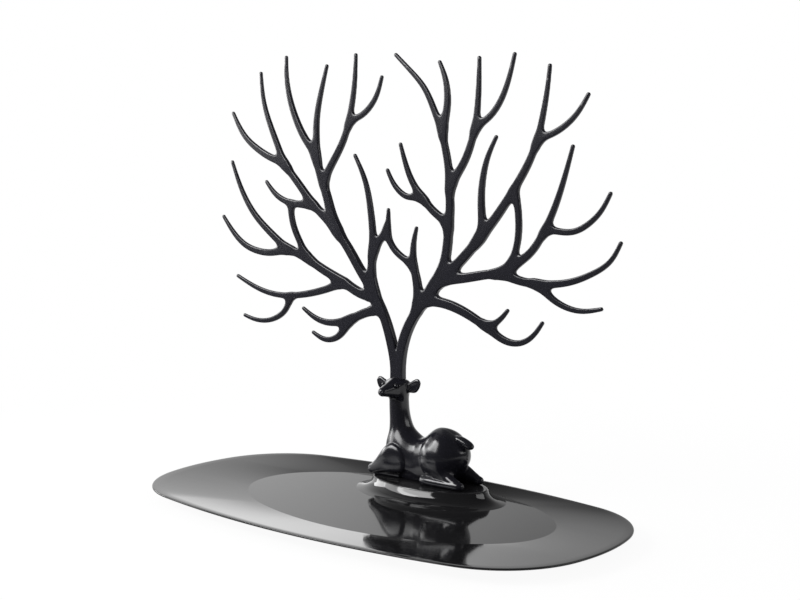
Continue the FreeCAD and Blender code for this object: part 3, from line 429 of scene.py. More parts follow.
antlerSettings = {
    "reach": 146.0, "crown": 187.0, "seat": 69.9,
    "voxel": 0.45, "layers": 19, "around": 4.0, "below": 2.0, "margin": 6.0, "pathSteps": 12,
    "widths": {"stem": 6.4, "limb": 5.7, "branch": 4.6, "twig": 3.7, "tip": 2.2},
    "depths": {"stem": 4.6, "limb": 4.0, "branch": 3.2, "twig": 2.6, "tip": 1.7},
    "taper": 1.8, "edgeShare": 0.45, "mostEdge": 0.85, "web": 5.0, "forkWeb": 0.5,
    "rootTrim": 0.8, "rootRun": 4.0, "rootShare": 0.5, "pullRange": (-3.0, 20.0), "pullReach": 2.2,
    "tenon": (5.6, 4.4, 18.0), "tenonRoot": 3.0, "mostTriangles": 190000,
}
linkNames = ("left_link", "right_link", "bridge")
spineShares = {
    "left_inner": ("stem", [
        (-0.011, -0.03), (-0.011, 0.03), (-0.031, 0.1), (-0.053, 0.15), (-0.083, 0.2), (-0.123, 0.26),
        (-0.135, 0.34), (-0.13, 0.43), (-0.139, 0.5), (-0.169, 0.6), (-0.223, 0.68),
    ]),
    "right_q": ("stem", [
        (0.011, -0.03), (0.011, 0.03), (0.027, 0.1), (0.052, 0.15), (0.092, 0.2), (0.16, 0.27),
        (0.213, 0.33), (0.239, 0.385), (0.25, 0.45), (0.257, 0.53), (0.254, 0.58), (0.249, 0.64),
        (0.232, 0.705), (0.213, 0.755), (0.182, 0.81), (0.13, 0.882), (0.065, 0.933), (-0.01, 0.984),
    ]),
    "left_b": ("limb", [
        (-0.112, 0.245), (-0.185, 0.31), (-0.25, 0.377), (-0.35, 0.46), (-0.45, 0.522), (-0.55, 0.6),
        (-0.615, 0.655), (-0.654, 0.71), (-0.698, 0.78), (-0.734, 0.855), (-0.75, 0.95),
    ]),
    "left_d": ("limb", [
        (-0.3, 0.415), (-0.353, 0.5), (-0.376, 0.55), (-0.402, 0.6), (-0.426, 0.655), (-0.434, 0.72),
        (-0.43, 0.8), (-0.408, 0.875), (-0.373, 0.962),
    ]),
    "left_c": ("branch", [
        (-0.426, 0.65), (-0.45, 0.69), (-0.492, 0.73), (-0.549, 0.8), (-0.586, 0.875), (-0.6, 0.94),
        (-0.6, 0.997),
    ]),
    "left_e": ("branch", [
        (-0.392, 0.58), (-0.374, 0.62), (-0.349, 0.652), (-0.306, 0.7), (-0.27, 0.753), (-0.244, 0.82),
        (-0.225, 0.9), (-0.217, 0.991),
    ]),
    "left_f": ("twig", [
        (-0.262, 0.768), (-0.235, 0.788), (-0.195, 0.802), (-0.15, 0.825), (-0.11, 0.863),
        (-0.082, 0.919),
    ]),
    "left_a": ("branch", [
        (-0.585, 0.63), (-0.63, 0.655), (-0.69, 0.672), (-0.77, 0.7), (-0.85, 0.744), (-0.921, 0.822),
    ]),
    "left_h": ("branch", [
        (-0.44, 0.515), (-0.49, 0.52), (-0.55, 0.523), (-0.61, 0.531), (-0.67, 0.553), (-0.723, 0.593),
    ]),
    "left_link": ("twig", [
        (-0.583, 0.525), (-0.579, 0.49), (-0.566, 0.45), (-0.538, 0.408), (-0.495, 0.362),
        (-0.46, 0.337),
    ]),
    "left_g": ("limb", [
        (-0.11, 0.235), (-0.2, 0.248), (-0.275, 0.274), (-0.4, 0.314), (-0.5, 0.349), (-0.6, 0.376),
        (-0.7, 0.423), (-0.8, 0.486), (-0.882, 0.575), (-0.931, 0.658),
    ]),
    "left_j": ("branch", [
        (-0.57, 0.367), (-0.62, 0.366), (-0.7, 0.358), (-0.78, 0.361), (-0.86, 0.38), (-0.93, 0.42),
        (-0.99, 0.472),
    ]),
    "left_k": ("branch", [
        (-0.27, 0.274), (-0.32, 0.265), (-0.38, 0.251), (-0.47, 0.233), (-0.57, 0.221), (-0.67, 0.219),
        (-0.78, 0.234), (-0.905, 0.271),
    ]),
    "left_l": ("twig", [
        (-0.575, 0.22), (-0.592, 0.202), (-0.62, 0.17), (-0.67, 0.142), (-0.74, 0.127), (-0.81, 0.128),
        (-0.865, 0.138),
    ]),
    "left_m": ("limb", [
        (-0.085, 0.195), (-0.15, 0.19), (-0.22, 0.17), (-0.3, 0.15), (-0.37, 0.143), (-0.44, 0.152),
        (-0.513, 0.181),
    ]),
    "left_n": ("branch", [
        (-0.23, 0.167), (-0.262, 0.146), (-0.29, 0.12), (-0.335, 0.094), (-0.395, 0.087),
        (-0.458, 0.105),
    ]),
    "left_o": ("branch", [
        (-0.133, 0.36), (-0.112, 0.395), (-0.08, 0.43), (-0.056, 0.462), (-0.049, 0.513),
    ]),
    "right_p": ("limb", [
        (0.092, 0.2), (0.101, 0.245), (0.098, 0.29), (0.083, 0.34), (0.077, 0.39), (0.082, 0.425),
        (0.093, 0.46),
    ]),
    "right_r": ("branch", [
        (0.222, 0.73), (0.229, 0.775), (0.24, 0.82), (0.242, 0.86), (0.232, 0.905), (0.205, 0.955),
    ]),
    "right_s": ("branch", [
        (0.254, 0.57), (0.283, 0.615), (0.32, 0.658), (0.352, 0.71), (0.374, 0.77), (0.386, 0.85),
        (0.39, 0.961),
    ]),
    "right_t": ("twig", [
        (0.362, 0.74), (0.388, 0.764), (0.43, 0.787), (0.473, 0.82), (0.512, 0.875), (0.548, 0.966),
    ]),
    "right_u": ("branch", [
        (0.252, 0.455), (0.228, 0.484), (0.18, 0.512), (0.125, 0.552), (0.08, 0.592), (0.045, 0.643),
        (0.013, 0.714),
    ]),
    "right_v": ("twig", [
        (0.14, 0.541), (0.1, 0.552), (0.05, 0.555), (0.005, 0.573), (-0.03, 0.603), (-0.053, 0.635),
    ]),
    "right_x": ("limb", [
        (0.2, 0.31), (0.28, 0.35), (0.35, 0.4), (0.43, 0.465), (0.5, 0.53), (0.565, 0.6), (0.61, 0.655),
        (0.648, 0.72), (0.672, 0.79), (0.69, 0.865), (0.7, 0.929),
    ]),
    "right_y": ("twig", [
        (0.64, 0.7), (0.66, 0.722), (0.705, 0.738), (0.76, 0.759), (0.815, 0.795), (0.861, 0.846),
    ]),
    "right_w": ("branch", [
        (0.37, 0.415), (0.4, 0.45), (0.406, 0.5), (0.403, 0.555), (0.41, 0.615), (0.43, 0.673),
        (0.469, 0.733),
    ]),
    "right_bb": ("limb", [
        (0.16, 0.27), (0.21, 0.298), (0.3, 0.315), (0.4, 0.329), (0.49, 0.336), (0.58, 0.322),
        (0.68, 0.317), (0.79, 0.327), (0.89, 0.356), (0.96, 0.393), (1, 0.443),
    ]),
    "right_cc": ("twig", [
        (0.63, 0.321), (0.67, 0.305), (0.71, 0.283), (0.77, 0.259), (0.845, 0.249), (0.926, 0.259),
    ]),
    "right_link": ("twig", [
        (0.55, 0.585), (0.562, 0.555), (0.572, 0.5), (0.571, 0.45), (0.553, 0.395), (0.52, 0.35),
    ]),
    "right_z": ("branch", [
        (0.46, 0.333), (0.515, 0.35), (0.57, 0.372), (0.63, 0.408), (0.68, 0.462), (0.716, 0.515),
        (0.75, 0.58), (0.8, 0.705),
    ]),
    "right_aa": ("twig", [
        (0.675, 0.455), (0.7, 0.467), (0.75, 0.468), (0.81, 0.47), (0.87, 0.493), (0.92, 0.53),
        (0.956, 0.577),
    ]),
    "right_dd": ("limb", [
        (0.12, 0.232), (0.16, 0.239), (0.2, 0.24), (0.28, 0.229), (0.37, 0.202), (0.455, 0.167),
        (0.53, 0.141), (0.595, 0.144), (0.645, 0.17), (0.68, 0.205),
    ]),
    "right_ee": ("twig", [
        (0.41, 0.187), (0.44, 0.186), (0.475, 0.195), (0.503, 0.212), (0.526, 0.232),
    ]),
    "bridge": ("twig", [
        (-0.055, 0.465), (-0.05, 0.435), (-0.027, 0.4), (0.01, 0.375), (0.045, 0.358), (0.077, 0.335),
    ]),
}


def branchField(s, kind, name, shares, xs, zs):
    # signed distance in the plane of the fan, and half the thickness there
    ending = "twig" if name in linkNames else "tip"
    rootWidth, tipWidth = s["widths"][kind], s["widths"][ending]
    rootDepth, tipDepth = s["depths"][kind], s["depths"][ending]
    places = [(levels["deerX"] + x * s["reach"], s["seat"] + z * s["crown"]) for x, z in shares]
    path = splineThrough(places, s["pathSteps"] * len(places))
    way = np.concatenate([[0.0], np.cumsum(np.linalg.norm(np.diff(path, axis=0), axis=1))])
    inside = np.minimum(way, way[-1] - way) if name in linkNames else way.copy()
    inside -= s["rootTrim"] * rootWidth / 2
    way /= way[-1]
    half = (rootWidth + (tipWidth - rootWidth) * way ** s["taper"]) / 2
    chord = path[-1] - path[0]
    onChord = np.clip((path - path[0]) @ chord / (chord @ chord), 0.0, 1.0)
    depth = (rootDepth + (tipDepth - rootDepth) * onChord) / 2
    if kind != "stem":
        # slim and cut short inside the branch it grows from, so that the far side stays smooth
        half *= s["rootShare"] + (1 - s["rootShare"]) * np.clip(inside / s["rootRun"], 0.0, 1.0)
        path, half, depth = path[inside >= 0], half[inside >= 0], depth[inside >= 0]
    margin = s["margin"]
    i0, i1 = np.searchsorted(xs, (path[:, 0].min() - margin, path[:, 0].max() + margin))
    k0, k1 = np.searchsorted(zs, (path[:, 1].min() - margin, path[:, 1].max() + margin))
    x = xs[i0:i1, None]
    z = zs[None, k0:k1]
    best = np.full((i1 - i0, k1 - k0), 1e3)
    thick = np.full_like(best, depth[0])
    for j in range(len(path) - 1):
        a, d = path[j], path[j + 1] - path[j]
        t = np.clip(((x - a[0]) * d[0] + (z - a[1]) * d[1]) / (d @ d), 0.0, 1.0)
        away = np.hypot(x - a[0] - t * d[0], z - a[1] - t * d[1]) - (half[j] + (half[j + 1] - half[j]) * t)
        nearer = away < best
        best = np.where(nearer, away, best)
        thick = np.where(nearer, depth[j] + (depth[j + 1] - depth[j]) * t, thick)
    return (slice(i0, i1), slice(k0, k1)), best, thick


def buildAntlers(s):
    voxel = s["voxel"]
    mid = levels["middle"]
    foot = levels["trunkFoot"]
    centre = levels["deerX"]
    tenonWidth, tenonDepth, tenonLength = s["tenon"]
    low = np.array([
        centre - s["reach"] - s["around"], mid - s["layers"] // 2 * voxel, foot - tenonLength - s["below"],
    ])
    xs = np.arange(low[0], centre + s["reach"] + s["around"], voxel)
    ys = low[1] + voxel * np.arange(s["layers"])
    zs = np.arange(low[2], s["seat"] + s["crown"] + s["around"], voxel)
    plane = np.full((len(xs), len(zs)), s["margin"])
    weight = np.zeros_like(plane)
    thick = np.zeros_like(plane)
    for name, (kind, shares) in spineShares.items():
        area, away, depth = branchField(s, kind, name, shares, xs, zs)
        plane[area] = blended(plane[area], away, s["forkWeb"] if kind == "stem" else s["web"])
        pull = np.exp(-np.clip(away, *s["pullRange"]) / s["pullReach"])
        weight[area] += pull
        thick[area] += pull * depth
    thick = np.where(weight > 0, thick / np.maximum(weight, 1e-12), 1.0)
    edge = np.minimum(s["edgeShare"] * thick, s["mostEdge"])
    side = plane + edge
    field = np.empty((len(xs), len(ys), len(zs)), np.float32)
    tenonX = np.abs(xs - centre)[:, None] - tenonWidth / 2
    tenonZ = np.maximum(foot - tenonLength - zs, zs - foot - s["tenonRoot"])[None, :]
    for j, y in enumerate(ys):
        face = abs(y - mid) - thick + edge
        outside = np.hypot(np.maximum(side, 0), np.maximum(face, 0))
        body = np.minimum(np.maximum(side, face), 0) + outside - edge
        body = np.maximum(body, foot - zs[None, :])
        tenon = np.maximum(np.maximum(tenonX, tenonZ), abs(y - mid) - tenonDepth / 2)
        field[:, j, :] = np.minimum(body, tenon)
    antlers = addObject("antlerFan", meshFromField("antlerFan", field, low, voxel), materials["antlers"])
    triangles = 2 * len(antlers.data.polygons)
    if triangles > s["mostTriangles"]:
        thin = antlers.modifiers.new("thin", "DECIMATE")
        thin.ratio = s["mostTriangles"] / triangles
        applied(antlers)
    antlers.data.shade_smooth()
    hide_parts("antler_tree")
    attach(antlers, "antler_body")
    return antlers


antlers = buildAntlers(antlerSettings)
print("antlers made:", len(antlers.data.polygons), "faces")


# deer: rounded forms blended into one figure, then split into two shells at its middle plane

deerSettings = {
    "voxel": 0.3, "boxLow": (-19.5, -18.3, -8.1), "boxHigh": (57.5, 18.3, 61.5), "creaseAngle": 48.0,
    # all in mm from the trunk's axis, the middle plane and the plateau
    # along the body: x, middle height, half width, half height
    "torso": [
        (-5.2, 15.0, 0.3, 0.4), (-4.6, 15.0, 3.4, 5.5), (-1.0, 12.5, 7.2, 12.0), (6.0, 11.5, 8.8, 13.8),
        (14.0, 11.0, 9.4, 13.9), (19.0, 10.9, 9.8, 13.6), (25.0, 12.8, 10.2, 15.4), (30.0, 14.4, 10.5, 17.2),
        (34.5, 14.9, 10.7, 16.7), (39.0, 15.7, 10.5, 13.9), (43.5, 16.6, 9.4, 10.2), (47.0, 17.0, 7.4, 7.0),
        (49.5, 17.2, 4.4, 4.2), (50.8, 17.2, 0.5, 0.6),
    ],
    "torsoEdge": 2.2,
    # up the neck: height, x, half length, half width
    "neck": [
        (8.4, 9.5, 11.5, 9.0), (16.8, 5.8, 11.6, 9.4), (23.1, 4.8, 10.0, 8.4), (28.3, 3.1, 7.7, 6.9),
        (33.6, 1.9, 6.4, 6.2), (39.9, 1.1, 5.9, 5.8), (48.3, 0.8, 5.75, 5.6), (53.6, 0.5, 5.55, 5.5),
    ],
    # down the limbs: x, way out from the middle, height, half height, half thickness
    "foreleg": [
        (13.4, 7.6, 13.2, 0.6, 0.5), (12.2, 8.0, 13.2, 5.2, 2.8), (8.2, 8.2, 12.6, 8.6, 3.7),
        (2.6, 8.4, 11.4, 8.6, 4.0), (-4.2, 8.2, 8.0, 5.8, 3.6), (-10.5, 7.6, 4.5, 3.4, 2.9),
        (-15.2, 7.1, 2.5, 2.1, 2.0), (-17.0, 6.9, 1.9, 0.7, 0.6),
    ],
    "forelegTilt": -20.0, "forelegEdge": 2.7,
    "forearm": [
        (-16.0, 7.0, 1.8, 0.6, 0.6), (-14.2, 6.9, 2.1, 2.1, 2.0), (-4.2, 6.4, 1.9, 2.2, 2.1),
        (6.8, 5.8, 1.8, 2.0, 1.9),
    ],
    "shank": [
        (23.4, 9.2, 2.3, 0.4, 0.4), (24.5, 9.3, 2.4, 1.8, 1.7), (27.3, 9.5, 2.5, 2.5, 2.5),
        (40.0, 9.8, 2.4, 2.4, 2.4), (48.0, 9.7, 2.5, 2.5, 2.6), (51.5, 9.6, 2.5, 2.5, 2.5),
        (53.8, 9.5, 2.4, 1.7, 1.6), (54.6, 9.5, 2.3, 0.4, 0.4),
    ],
    "farHock": [
        (38.0, 7.6, 8.0, 5.0, 3.4), (42.0, 8.1, 6.8, 4.6, 3.2), (45.5, 8.6, 5.4, 4.0, 3.0),
        (48.8, 9.1, 4.0, 3.0, 2.6), (51.2, 9.4, 3.0, 2.3, 2.2), (52.9, 9.5, 2.6, 0.4, 0.4),
    ],
    "nearHock": [
        (36.0, 7.0, 6.0, 4.6, 3.0), (40.0, 7.6, 5.4, 4.6, 3.2), (44.0, 8.2, 4.4, 4.0, 3.2),
        (48.0, 8.8, 3.4, 3.1, 2.9), (51.0, 9.2, 2.8, 2.4, 2.4), (53.6, 9.4, 2.4, 0.4, 0.4),
    ],
    # down the tail: x, height, half width, half thickness
    "tail": [
        (41.0, 28.0, 1.6, 0.9), (44.6, 27.0, 2.5, 2.0), (48.4, 25.4, 2.7, 2.5), (51.8, 23.9, 2.4, 2.3),
        (53.6, 23.1, 1.6, 1.5), (54.3, 22.8, 0.4, 0.4),
    ],
    "tailTilt": 34.0,
    "haunch": ((33.2, 4.8, 15.2), (11.8, 9.0, 12.4), 2.0),
    # from the back of the head to the nose: way forward, top, side ridge's half width and height,
    # jaw's height and half width
    "headBase": 47.0,
    "head": [
        (-5.5, 9.6, 5.0, 7.4, 1.2, 4.2), (-2.0, 11.5, 7.0, 8.8, 0.6, 5.0), (1.0, 11.9, 7.4, 8.9, 0.2, 5.8),
        (4.0, 11.1, 6.3, 8.2, -0.2, 5.5), (7.5, 9.7, 4.9, 7.2, 0.0, 4.5), (11.0, 8.2, 3.6, 6.4, 0.6, 3.4),
        (13.0, 7.4, 2.9, 6.0, 1.0, 2.7), (15.3, 6.6, 2.3, 5.5, 1.3, 2.0), (16.4, 6.2, 2.1, 5.2, 1.5, 1.8),
    ],
    "topRound": 0.5, "ridgeRound": 1.1, "jawRound": 2.4, "noseRound": 2.2, "backRound": 4.0,
    "cheekSwell": 0.45,
    # out along the ear: way out, middle height, half height, half thickness
    "ear": [
        (5.0, 4.7, 2.2, 1.7), (8.4, 5.1, 3.0, 1.6), (10.6, 5.6, 3.6, 1.4), (13.3, 6.5, 3.9, 1.2),
        (15.1, 7.3, 2.8, 0.95), (16.3, 7.9, 0.3, 0.3),
    ],
    "earHollow": {"size": 0.74, "forward": 1.7, "depth": 1.0, "out": 0.4, "back": 0.5, "roll": 0.04},
    "eye": {"forward": 7.5, "height": 7.0, "out": 4.7, "socket": 1.55, "ball": 1.2},
    "nostril": {"forward": 16.3, "height": 4.4, "out": 1.1, "radius": 0.45},
    # widths of the fillets where one form meets another; the last two change along the figure
    "fillets": {
        "neck": 5.0, "farHock": 1.2, "nearHock": 3.2, "foreleg": 0.3, "forearm": 0.4, "shank": 0.4,
        "tail": 0.7, "earHollow": 0.35, "ear": 0.8, "socket": 0.3, "ball": 0.15, "nostril": 0.3,
    },
    "haunchFillet": (0.35, (5.0, 27.0, 40.0), (3.0, 21.0, 29.0)), "headFillet": (3.0, (-1.9, 3.0, 7.0)),
    "slotGap": 0.08, "slotBelow": 0.5, "slotAbove": 9.0, "seat": (9.6, 4.8, 0.3),
    "pegRadius": 2.5, "pegLength": 7.0, "pegRoot": 4.0,
}


def stationed(stations, at, steps=60):
    # smooth values of the stations' columns along their first column
    path = splineThrough(sorted(stations), steps * len(stations))
    return [np.interp(at, path[:, 0], column).astype(np.float32) for column in path[:, 1:].T]


def loftField(stations, along, across, up, edge=2.0):
    # about the distance to a form with elliptical sections: a station's row is its place, two middles and
    # two half sizes, and an edge above 2 makes the sections squarer
    middleA, middleB, halfA, halfB = stationed(stations, along)
    halfA, halfB = np.maximum(halfA, 0.05), np.maximum(halfB, 0.05)
    u, v = np.abs(across - middleA) / halfA, np.abs(up - middleB) / halfB
    reach = np.maximum((u**edge + v**edge) ** (1 / edge), 1e-3)
    slope = np.hypot((u / reach) ** (edge - 1) / halfA, (v / reach) ** (edge - 1) / halfB)
    places = [row[0] for row in stations]
    field = (reach - 1) / np.maximum(slope, 1e-4)
    return np.maximum(field, np.maximum(min(places) - along, along - max(places)))


def ellipsoidField(x, y, z, centre, half, edge):
    # about the distance to an ellipsoid; an edge above 2 makes its sides flatter
    u, v, w = (np.abs(at - middle) / size for at, middle, size in zip((x, y, z), centre, half))
    reach = np.maximum((u**edge + v**edge + w**edge) ** (1 / edge), 1e-3)
    slope = np.sqrt(sum(((q / reach) ** (edge - 1) / size) ** 2 for q, size in zip((u, v, w), half)))
    return (reach - 1) / np.maximum(slope, 1e-4)


def boxField(x, y, z, halfX, halfY, low, high):
    return np.maximum(np.maximum(np.abs(x) - halfX, np.abs(y) - halfY), np.maximum(low - z, z - high))


def rounded(first, second, reach):
    # overlap of two fields with a rounded edge
    return -blended(-first, -second, reach)


def headField(s, x, y, z):
    # a roof over two swelling cheeks and a flat jaw, which follow the stations
    forward = -y
    top, ridge, ridgeHeight, jawHeight, jaw = stationed(s["head"], forward)
    z = z - s["headBase"]
    rise = top - ridgeHeight
    roof = ((z - top) * ridge + np.sqrt(x * x + s["topRound"]) * rise) / np.hypot(ridge, rise)
    across, down = jaw - ridge, jawHeight - ridgeHeight
    cheek = (-(np.abs(x) - ridge) * down + (z - ridgeHeight) * across) / np.hypot(across, down)
    share = np.clip((z - ridgeHeight) / down, 0.0, 1.0)
    cheek = cheek - s["cheekSwell"] * 4 * share * (1 - share)
    field = rounded(roof, cheek, s["ridgeRound"])
    field = rounded(field, jawHeight - z, s["jawRound"])
    field = rounded(field, forward - s["head"][-1][0], s["noseRound"])
    return rounded(field, s["head"][0][0] - forward, s["backRound"])


def dressedHead(s, x, y, z):
    # the head with its ears, eyes and nostrils
    fillets, base, dip = s["fillets"], s["headBase"], s["earHollow"]
    ears = [(o, 0.0, base + m, t, r) for o, m, r, t in s["ear"]]
    inner = [
        (o + dip["out"], -dip["forward"], m, dip["depth"], r * dip["size"]) for o, _, m, _, r in ears[1:]
    ]
    ear, hollow = (
        loftField(rows, np.abs(x), y - dip["back"], z - dip["roll"] * x) for rows in (ears, inner)
    )
    ear = rounded(ear, -hollow, fillets["earHollow"])
    head = blended(headField(s, x, y, z), ear, fillets["ear"])

    def awayFrom(spot):
        parts = (np.abs(x) - spot["out"], y + spot["forward"], z - base - spot["height"])
        return np.sqrt(sum(part**2 for part in parts))

    eye, nostril = s["eye"], s["nostril"]
    away = awayFrom(eye)
    head = rounded(head, eye["socket"] - away, fillets["socket"])
    head = blended(head, away - eye["ball"], fillets["ball"])
    return rounded(head, nostril["radius"] - awayFrom(nostril), fillets["nostril"])


def limbField(s, name, x, y, z, tilt=0.0, edge=2.0):
    lean = math.tan(math.radians(tilt))
    flat = math.cos(math.radians(tilt))
    rows = [(a - lean * h, o, h, w, t * flat) for a, o, h, t, w in s[name]]
    return loftField(rows, x - lean * z, np.abs(y), z, edge)


def tailField(s, x, y, z):
    turn = math.radians(s["tailTilt"])
    along = x * math.cos(turn) - z * math.sin(turn)
    up = x * math.sin(turn) + z * math.cos(turn)
    rows = [
        (a * math.cos(turn) - h * math.sin(turn), 0.0, a * math.sin(turn) + h * math.cos(turn), w, t)
        for a, h, w, t in s["tail"]
    ]
    return loftField(rows, along, y, up)


def softStep(value, start, stop):
    share = np.clip((value - start) / (stop - start), 0.0, 1.0)
    return share * share * (3 - 2 * share)


def deerField(s, x, y, z):
    fillets = s["fillets"]
    torso = loftField([(a, 0.0, h, w, t) for a, h, w, t in s["torso"]], x, y, z, s["torsoEdge"])
    neck = loftField([(h, a, 0.0, l, w) for h, a, l, w in s["neck"]], z, x, y)
    body = blended(torso, neck, fillets["neck"])
    haunch = ellipsoidField(x, np.abs(y), z, *s["haunch"])
    least, (rear, *rearRun), (upper, *upperRun) = s["haunchFillet"]
    fillet = least + rear * softStep(x, *rearRun) + upper * softStep(z, *upperRun)
    body = blended(body, haunch, fillet.astype(np.float32))
    hocks = [blended(body, limbField(s, name, x, y, z), fillets[name]) for name in ("farHock", "nearHock")]
    body = np.where(y > 0, *hocks)
    foreleg = limbField(s, "foreleg", x, y, z, s["forelegTilt"], s["forelegEdge"])
    body = blended(body, foreleg, fillets["foreleg"])
    for name in ("forearm", "shank"):
        body = blended(body, limbField(s, name, x, y, z), fillets[name])
    body = blended(body, tailField(s, x, y, z), fillets["tail"])
    least, (front, *frontRun) = s["headFillet"]
    fillet = least + front * softStep(-y, *frontRun)
    body = blended(body, dressedHead(s, x, y, z), fillet.astype(np.float32))
    body = np.maximum(body, -z)
    width, depth, length = antlerSettings["tenon"]
    seatWidth, seatDepth, seatGap = s["seat"]
    foot = levels["trunkFoot"] - levels["plateau"]
    bottom, top = foot - length - s["slotBelow"], foot + s["slotAbove"]
    slot = boxField(x, y, z, width / 2 + s["slotGap"], depth / 2 + s["slotGap"], bottom, top)
    seat = boxField(x, y, z, seatWidth / 2 + seatGap, seatDepth / 2 + seatGap, foot, top)
    body = np.maximum(body, -np.minimum(slot, seat))
    for px, py in traySettings["pegs"]:
        px, py = px + levels["trayX"] - levels["deerX"], py - levels["middle"]
        peg = np.hypot(x - px, y - py) - s["pegRadius"]
        body = np.minimum(body, np.maximum(peg, np.maximum(-s["pegLength"] - z, z - s["pegRoot"])))
    return body


def halfShell(s, name, whole, side):
    # the part of the figure on one side of its middle plane, closed with a flat face
    work = bmesh.new()
    work.from_mesh(whole)
    cut = bmesh.ops.bisect_plane(
        work, geom=work.verts[:] + work.edges[:] + work.faces[:], dist=1e-7,
        plane_co=(0, levels["middle"] * mm, 0), plane_no=(0, side, 0), clear_inner=True,
    )
    rim = [item for item in cut["geom_cut"] if isinstance(item, bmesh.types.BMEdge)]
    bmesh.ops.triangle_fill(work, edges=rim, use_beauty=True, normal=(0, -side, 0))
    bmesh.ops.recalc_face_normals(work, faces=work.faces)
    mesh = bpy.data.meshes.new(name)
    work.to_mesh(mesh)
    work.free()
    creaseEdges(mesh, s["creaseAngle"])
    return addObject(name, mesh, materials["deer"])


def buildDeer(s):
    voxel = s["voxel"]
    axes = [
        np.float32(low + voxel * np.arange(int((high - low) / voxel)))
        for low, high in zip(s["boxLow"], s["boxHigh"])
    ]
    field = deerField(s, *np.ix_(*axes))
    corner = np.array(s["boxLow"]) + (levels["deerX"], levels["middle"], levels["plateau"])
    whole = meshFromField("deerWhole", field, corner, voxel)
    shells = []
    for name, side, node in (("deerFront", -1, "deer_front_shell"), ("deerBack", 1, "deer_back_shell")):
        shell = halfShell(s, name, whole, side)
        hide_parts(node)
        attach(shell, "deer_body")
        shells.append(shell)
    bpy.data.meshes.remove(whole)
    return shells


shells = buildDeer(deerSettings)
print("deer made:", [len(shell.data.polygons) for shell in shells], "faces")


# pads: one rounded pad set on four spots by nodes

padSettings = {
    "radius": 5.0, "thickness": 2.0, "round": 0.35, "roundSteps": 6, "innerShare": 0.6, "segments": 64,
    "creaseAngle": 40.0,
}


def padForm(s):
    inner = s["radius"] * s["innerShare"]
    outline = [(0.0, 0.0), (inner, 0.0)]
    for turned in np.radians(np.linspace(-90, 0, s["roundSteps"])):
        outline.append((
            s["radius"] - s["round"] * (1 - math.cos(turned)), s["round"] * (1 + math.sin(turned)),
        ))
    outline += [(s["radius"], s["thickness"]), (inner, s["thickness"]), (0.0, s["thickness"])]
    points, faces, count = [], [], s["segments"]
    for radius, z in outline:
        for k in range(count if radius else 1):
            angle = 2 * math.pi * k / count
            points.append((radius * math.cos(angle) * mm, radius * math.sin(angle) * mm, z * mm))
    faces += [(0, 1 + (k + 1) % count, 1 + k) for k in range(count)]
    for ring in range(len(outline) - 3):
        a, b = 1 + ring * count, 1 + (ring + 1) * count
        faces += [(a + k, a + (k + 1) % count, b + (k + 1) % count, b + k) for k in range(count)]
    last = len(points) - 1
    faces += [(last, last - count + k, last - count + (k + 1) % count) for k in range(count)]
    return meshFrom("padForm", points, faces)


def scatterTree():
    tree = bpy.data.node_groups.new("padsOnSpots", "GeometryNodeTree")
    sockets = {}
    for name, kind in (("Spots", "Geometry"), ("Form", "Object"), ("Finish", "Material")):
        socket = tree.interface.new_socket(name, in_out="INPUT", socket_type="NodeSocket" + kind)
        sockets[name] = socket.identifier
    tree.interface.new_socket("Pads", in_out="OUTPUT", socket_type="NodeSocketGeometry")
    kinds = (
        "NodeGroupInput", "GeometryNodeObjectInfo", "GeometryNodeMeshToPoints",
        "GeometryNodeInstanceOnPoints", "GeometryNodeRealizeInstances", "GeometryNodeSetMaterial",
        "NodeGroupOutput",
    )
    source, info, points, instances, real, finish, sink = (tree.nodes.new(kind) for kind in kinds)
    join = tree.links.new
    join(source.outputs["Spots"], points.inputs["Mesh"])
    join(source.outputs["Form"], info.inputs["Object"])
    join(points.outputs["Points"], instances.inputs["Points"])
    join(info.outputs["Geometry"], instances.inputs["Instance"])
    join(instances.outputs["Instances"], real.inputs["Geometry"])
    join(real.outputs["Geometry"], finish.inputs["Geometry"])
    join(source.outputs["Finish"], finish.inputs["Material"])
    join(finish.outputs["Geometry"], sink.inputs["Pads"])
    return tree, sockets


def buildPads(s):
    form = addObject("padForm", padForm(s), materials["pads"])
    spots = bpy.data.meshes.new("footPads")
    places = [((x + levels["trayX"]) * mm, y * mm, 0.0) for x, y in traySettings["padSpots"]]
    spots.from_pydata(places, [], [])
    pads = addObject("footPads", spots, materials["pads"])
    tree, sockets = scatterTree()
    step = pads.modifiers.new("scatter", "NODES")
    step.node_group = tree
    step[sockets["Form"]] = form
    step[sockets["Finish"]] = materials["pads"]
    applied(pads)
    creaseEdges(pads.data, s["creaseAngle"])
    formMesh = form.data
    bpy.data.objects.remove(form)
    bpy.data.meshes.remove(formMesh)
    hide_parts("foot_pads")
    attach(pads, "tray_body")
    return pads


pads = buildPads(padSettings)
print("pads made:", len(pads.data.polygons), "faces")


# stage: camera, light and floor

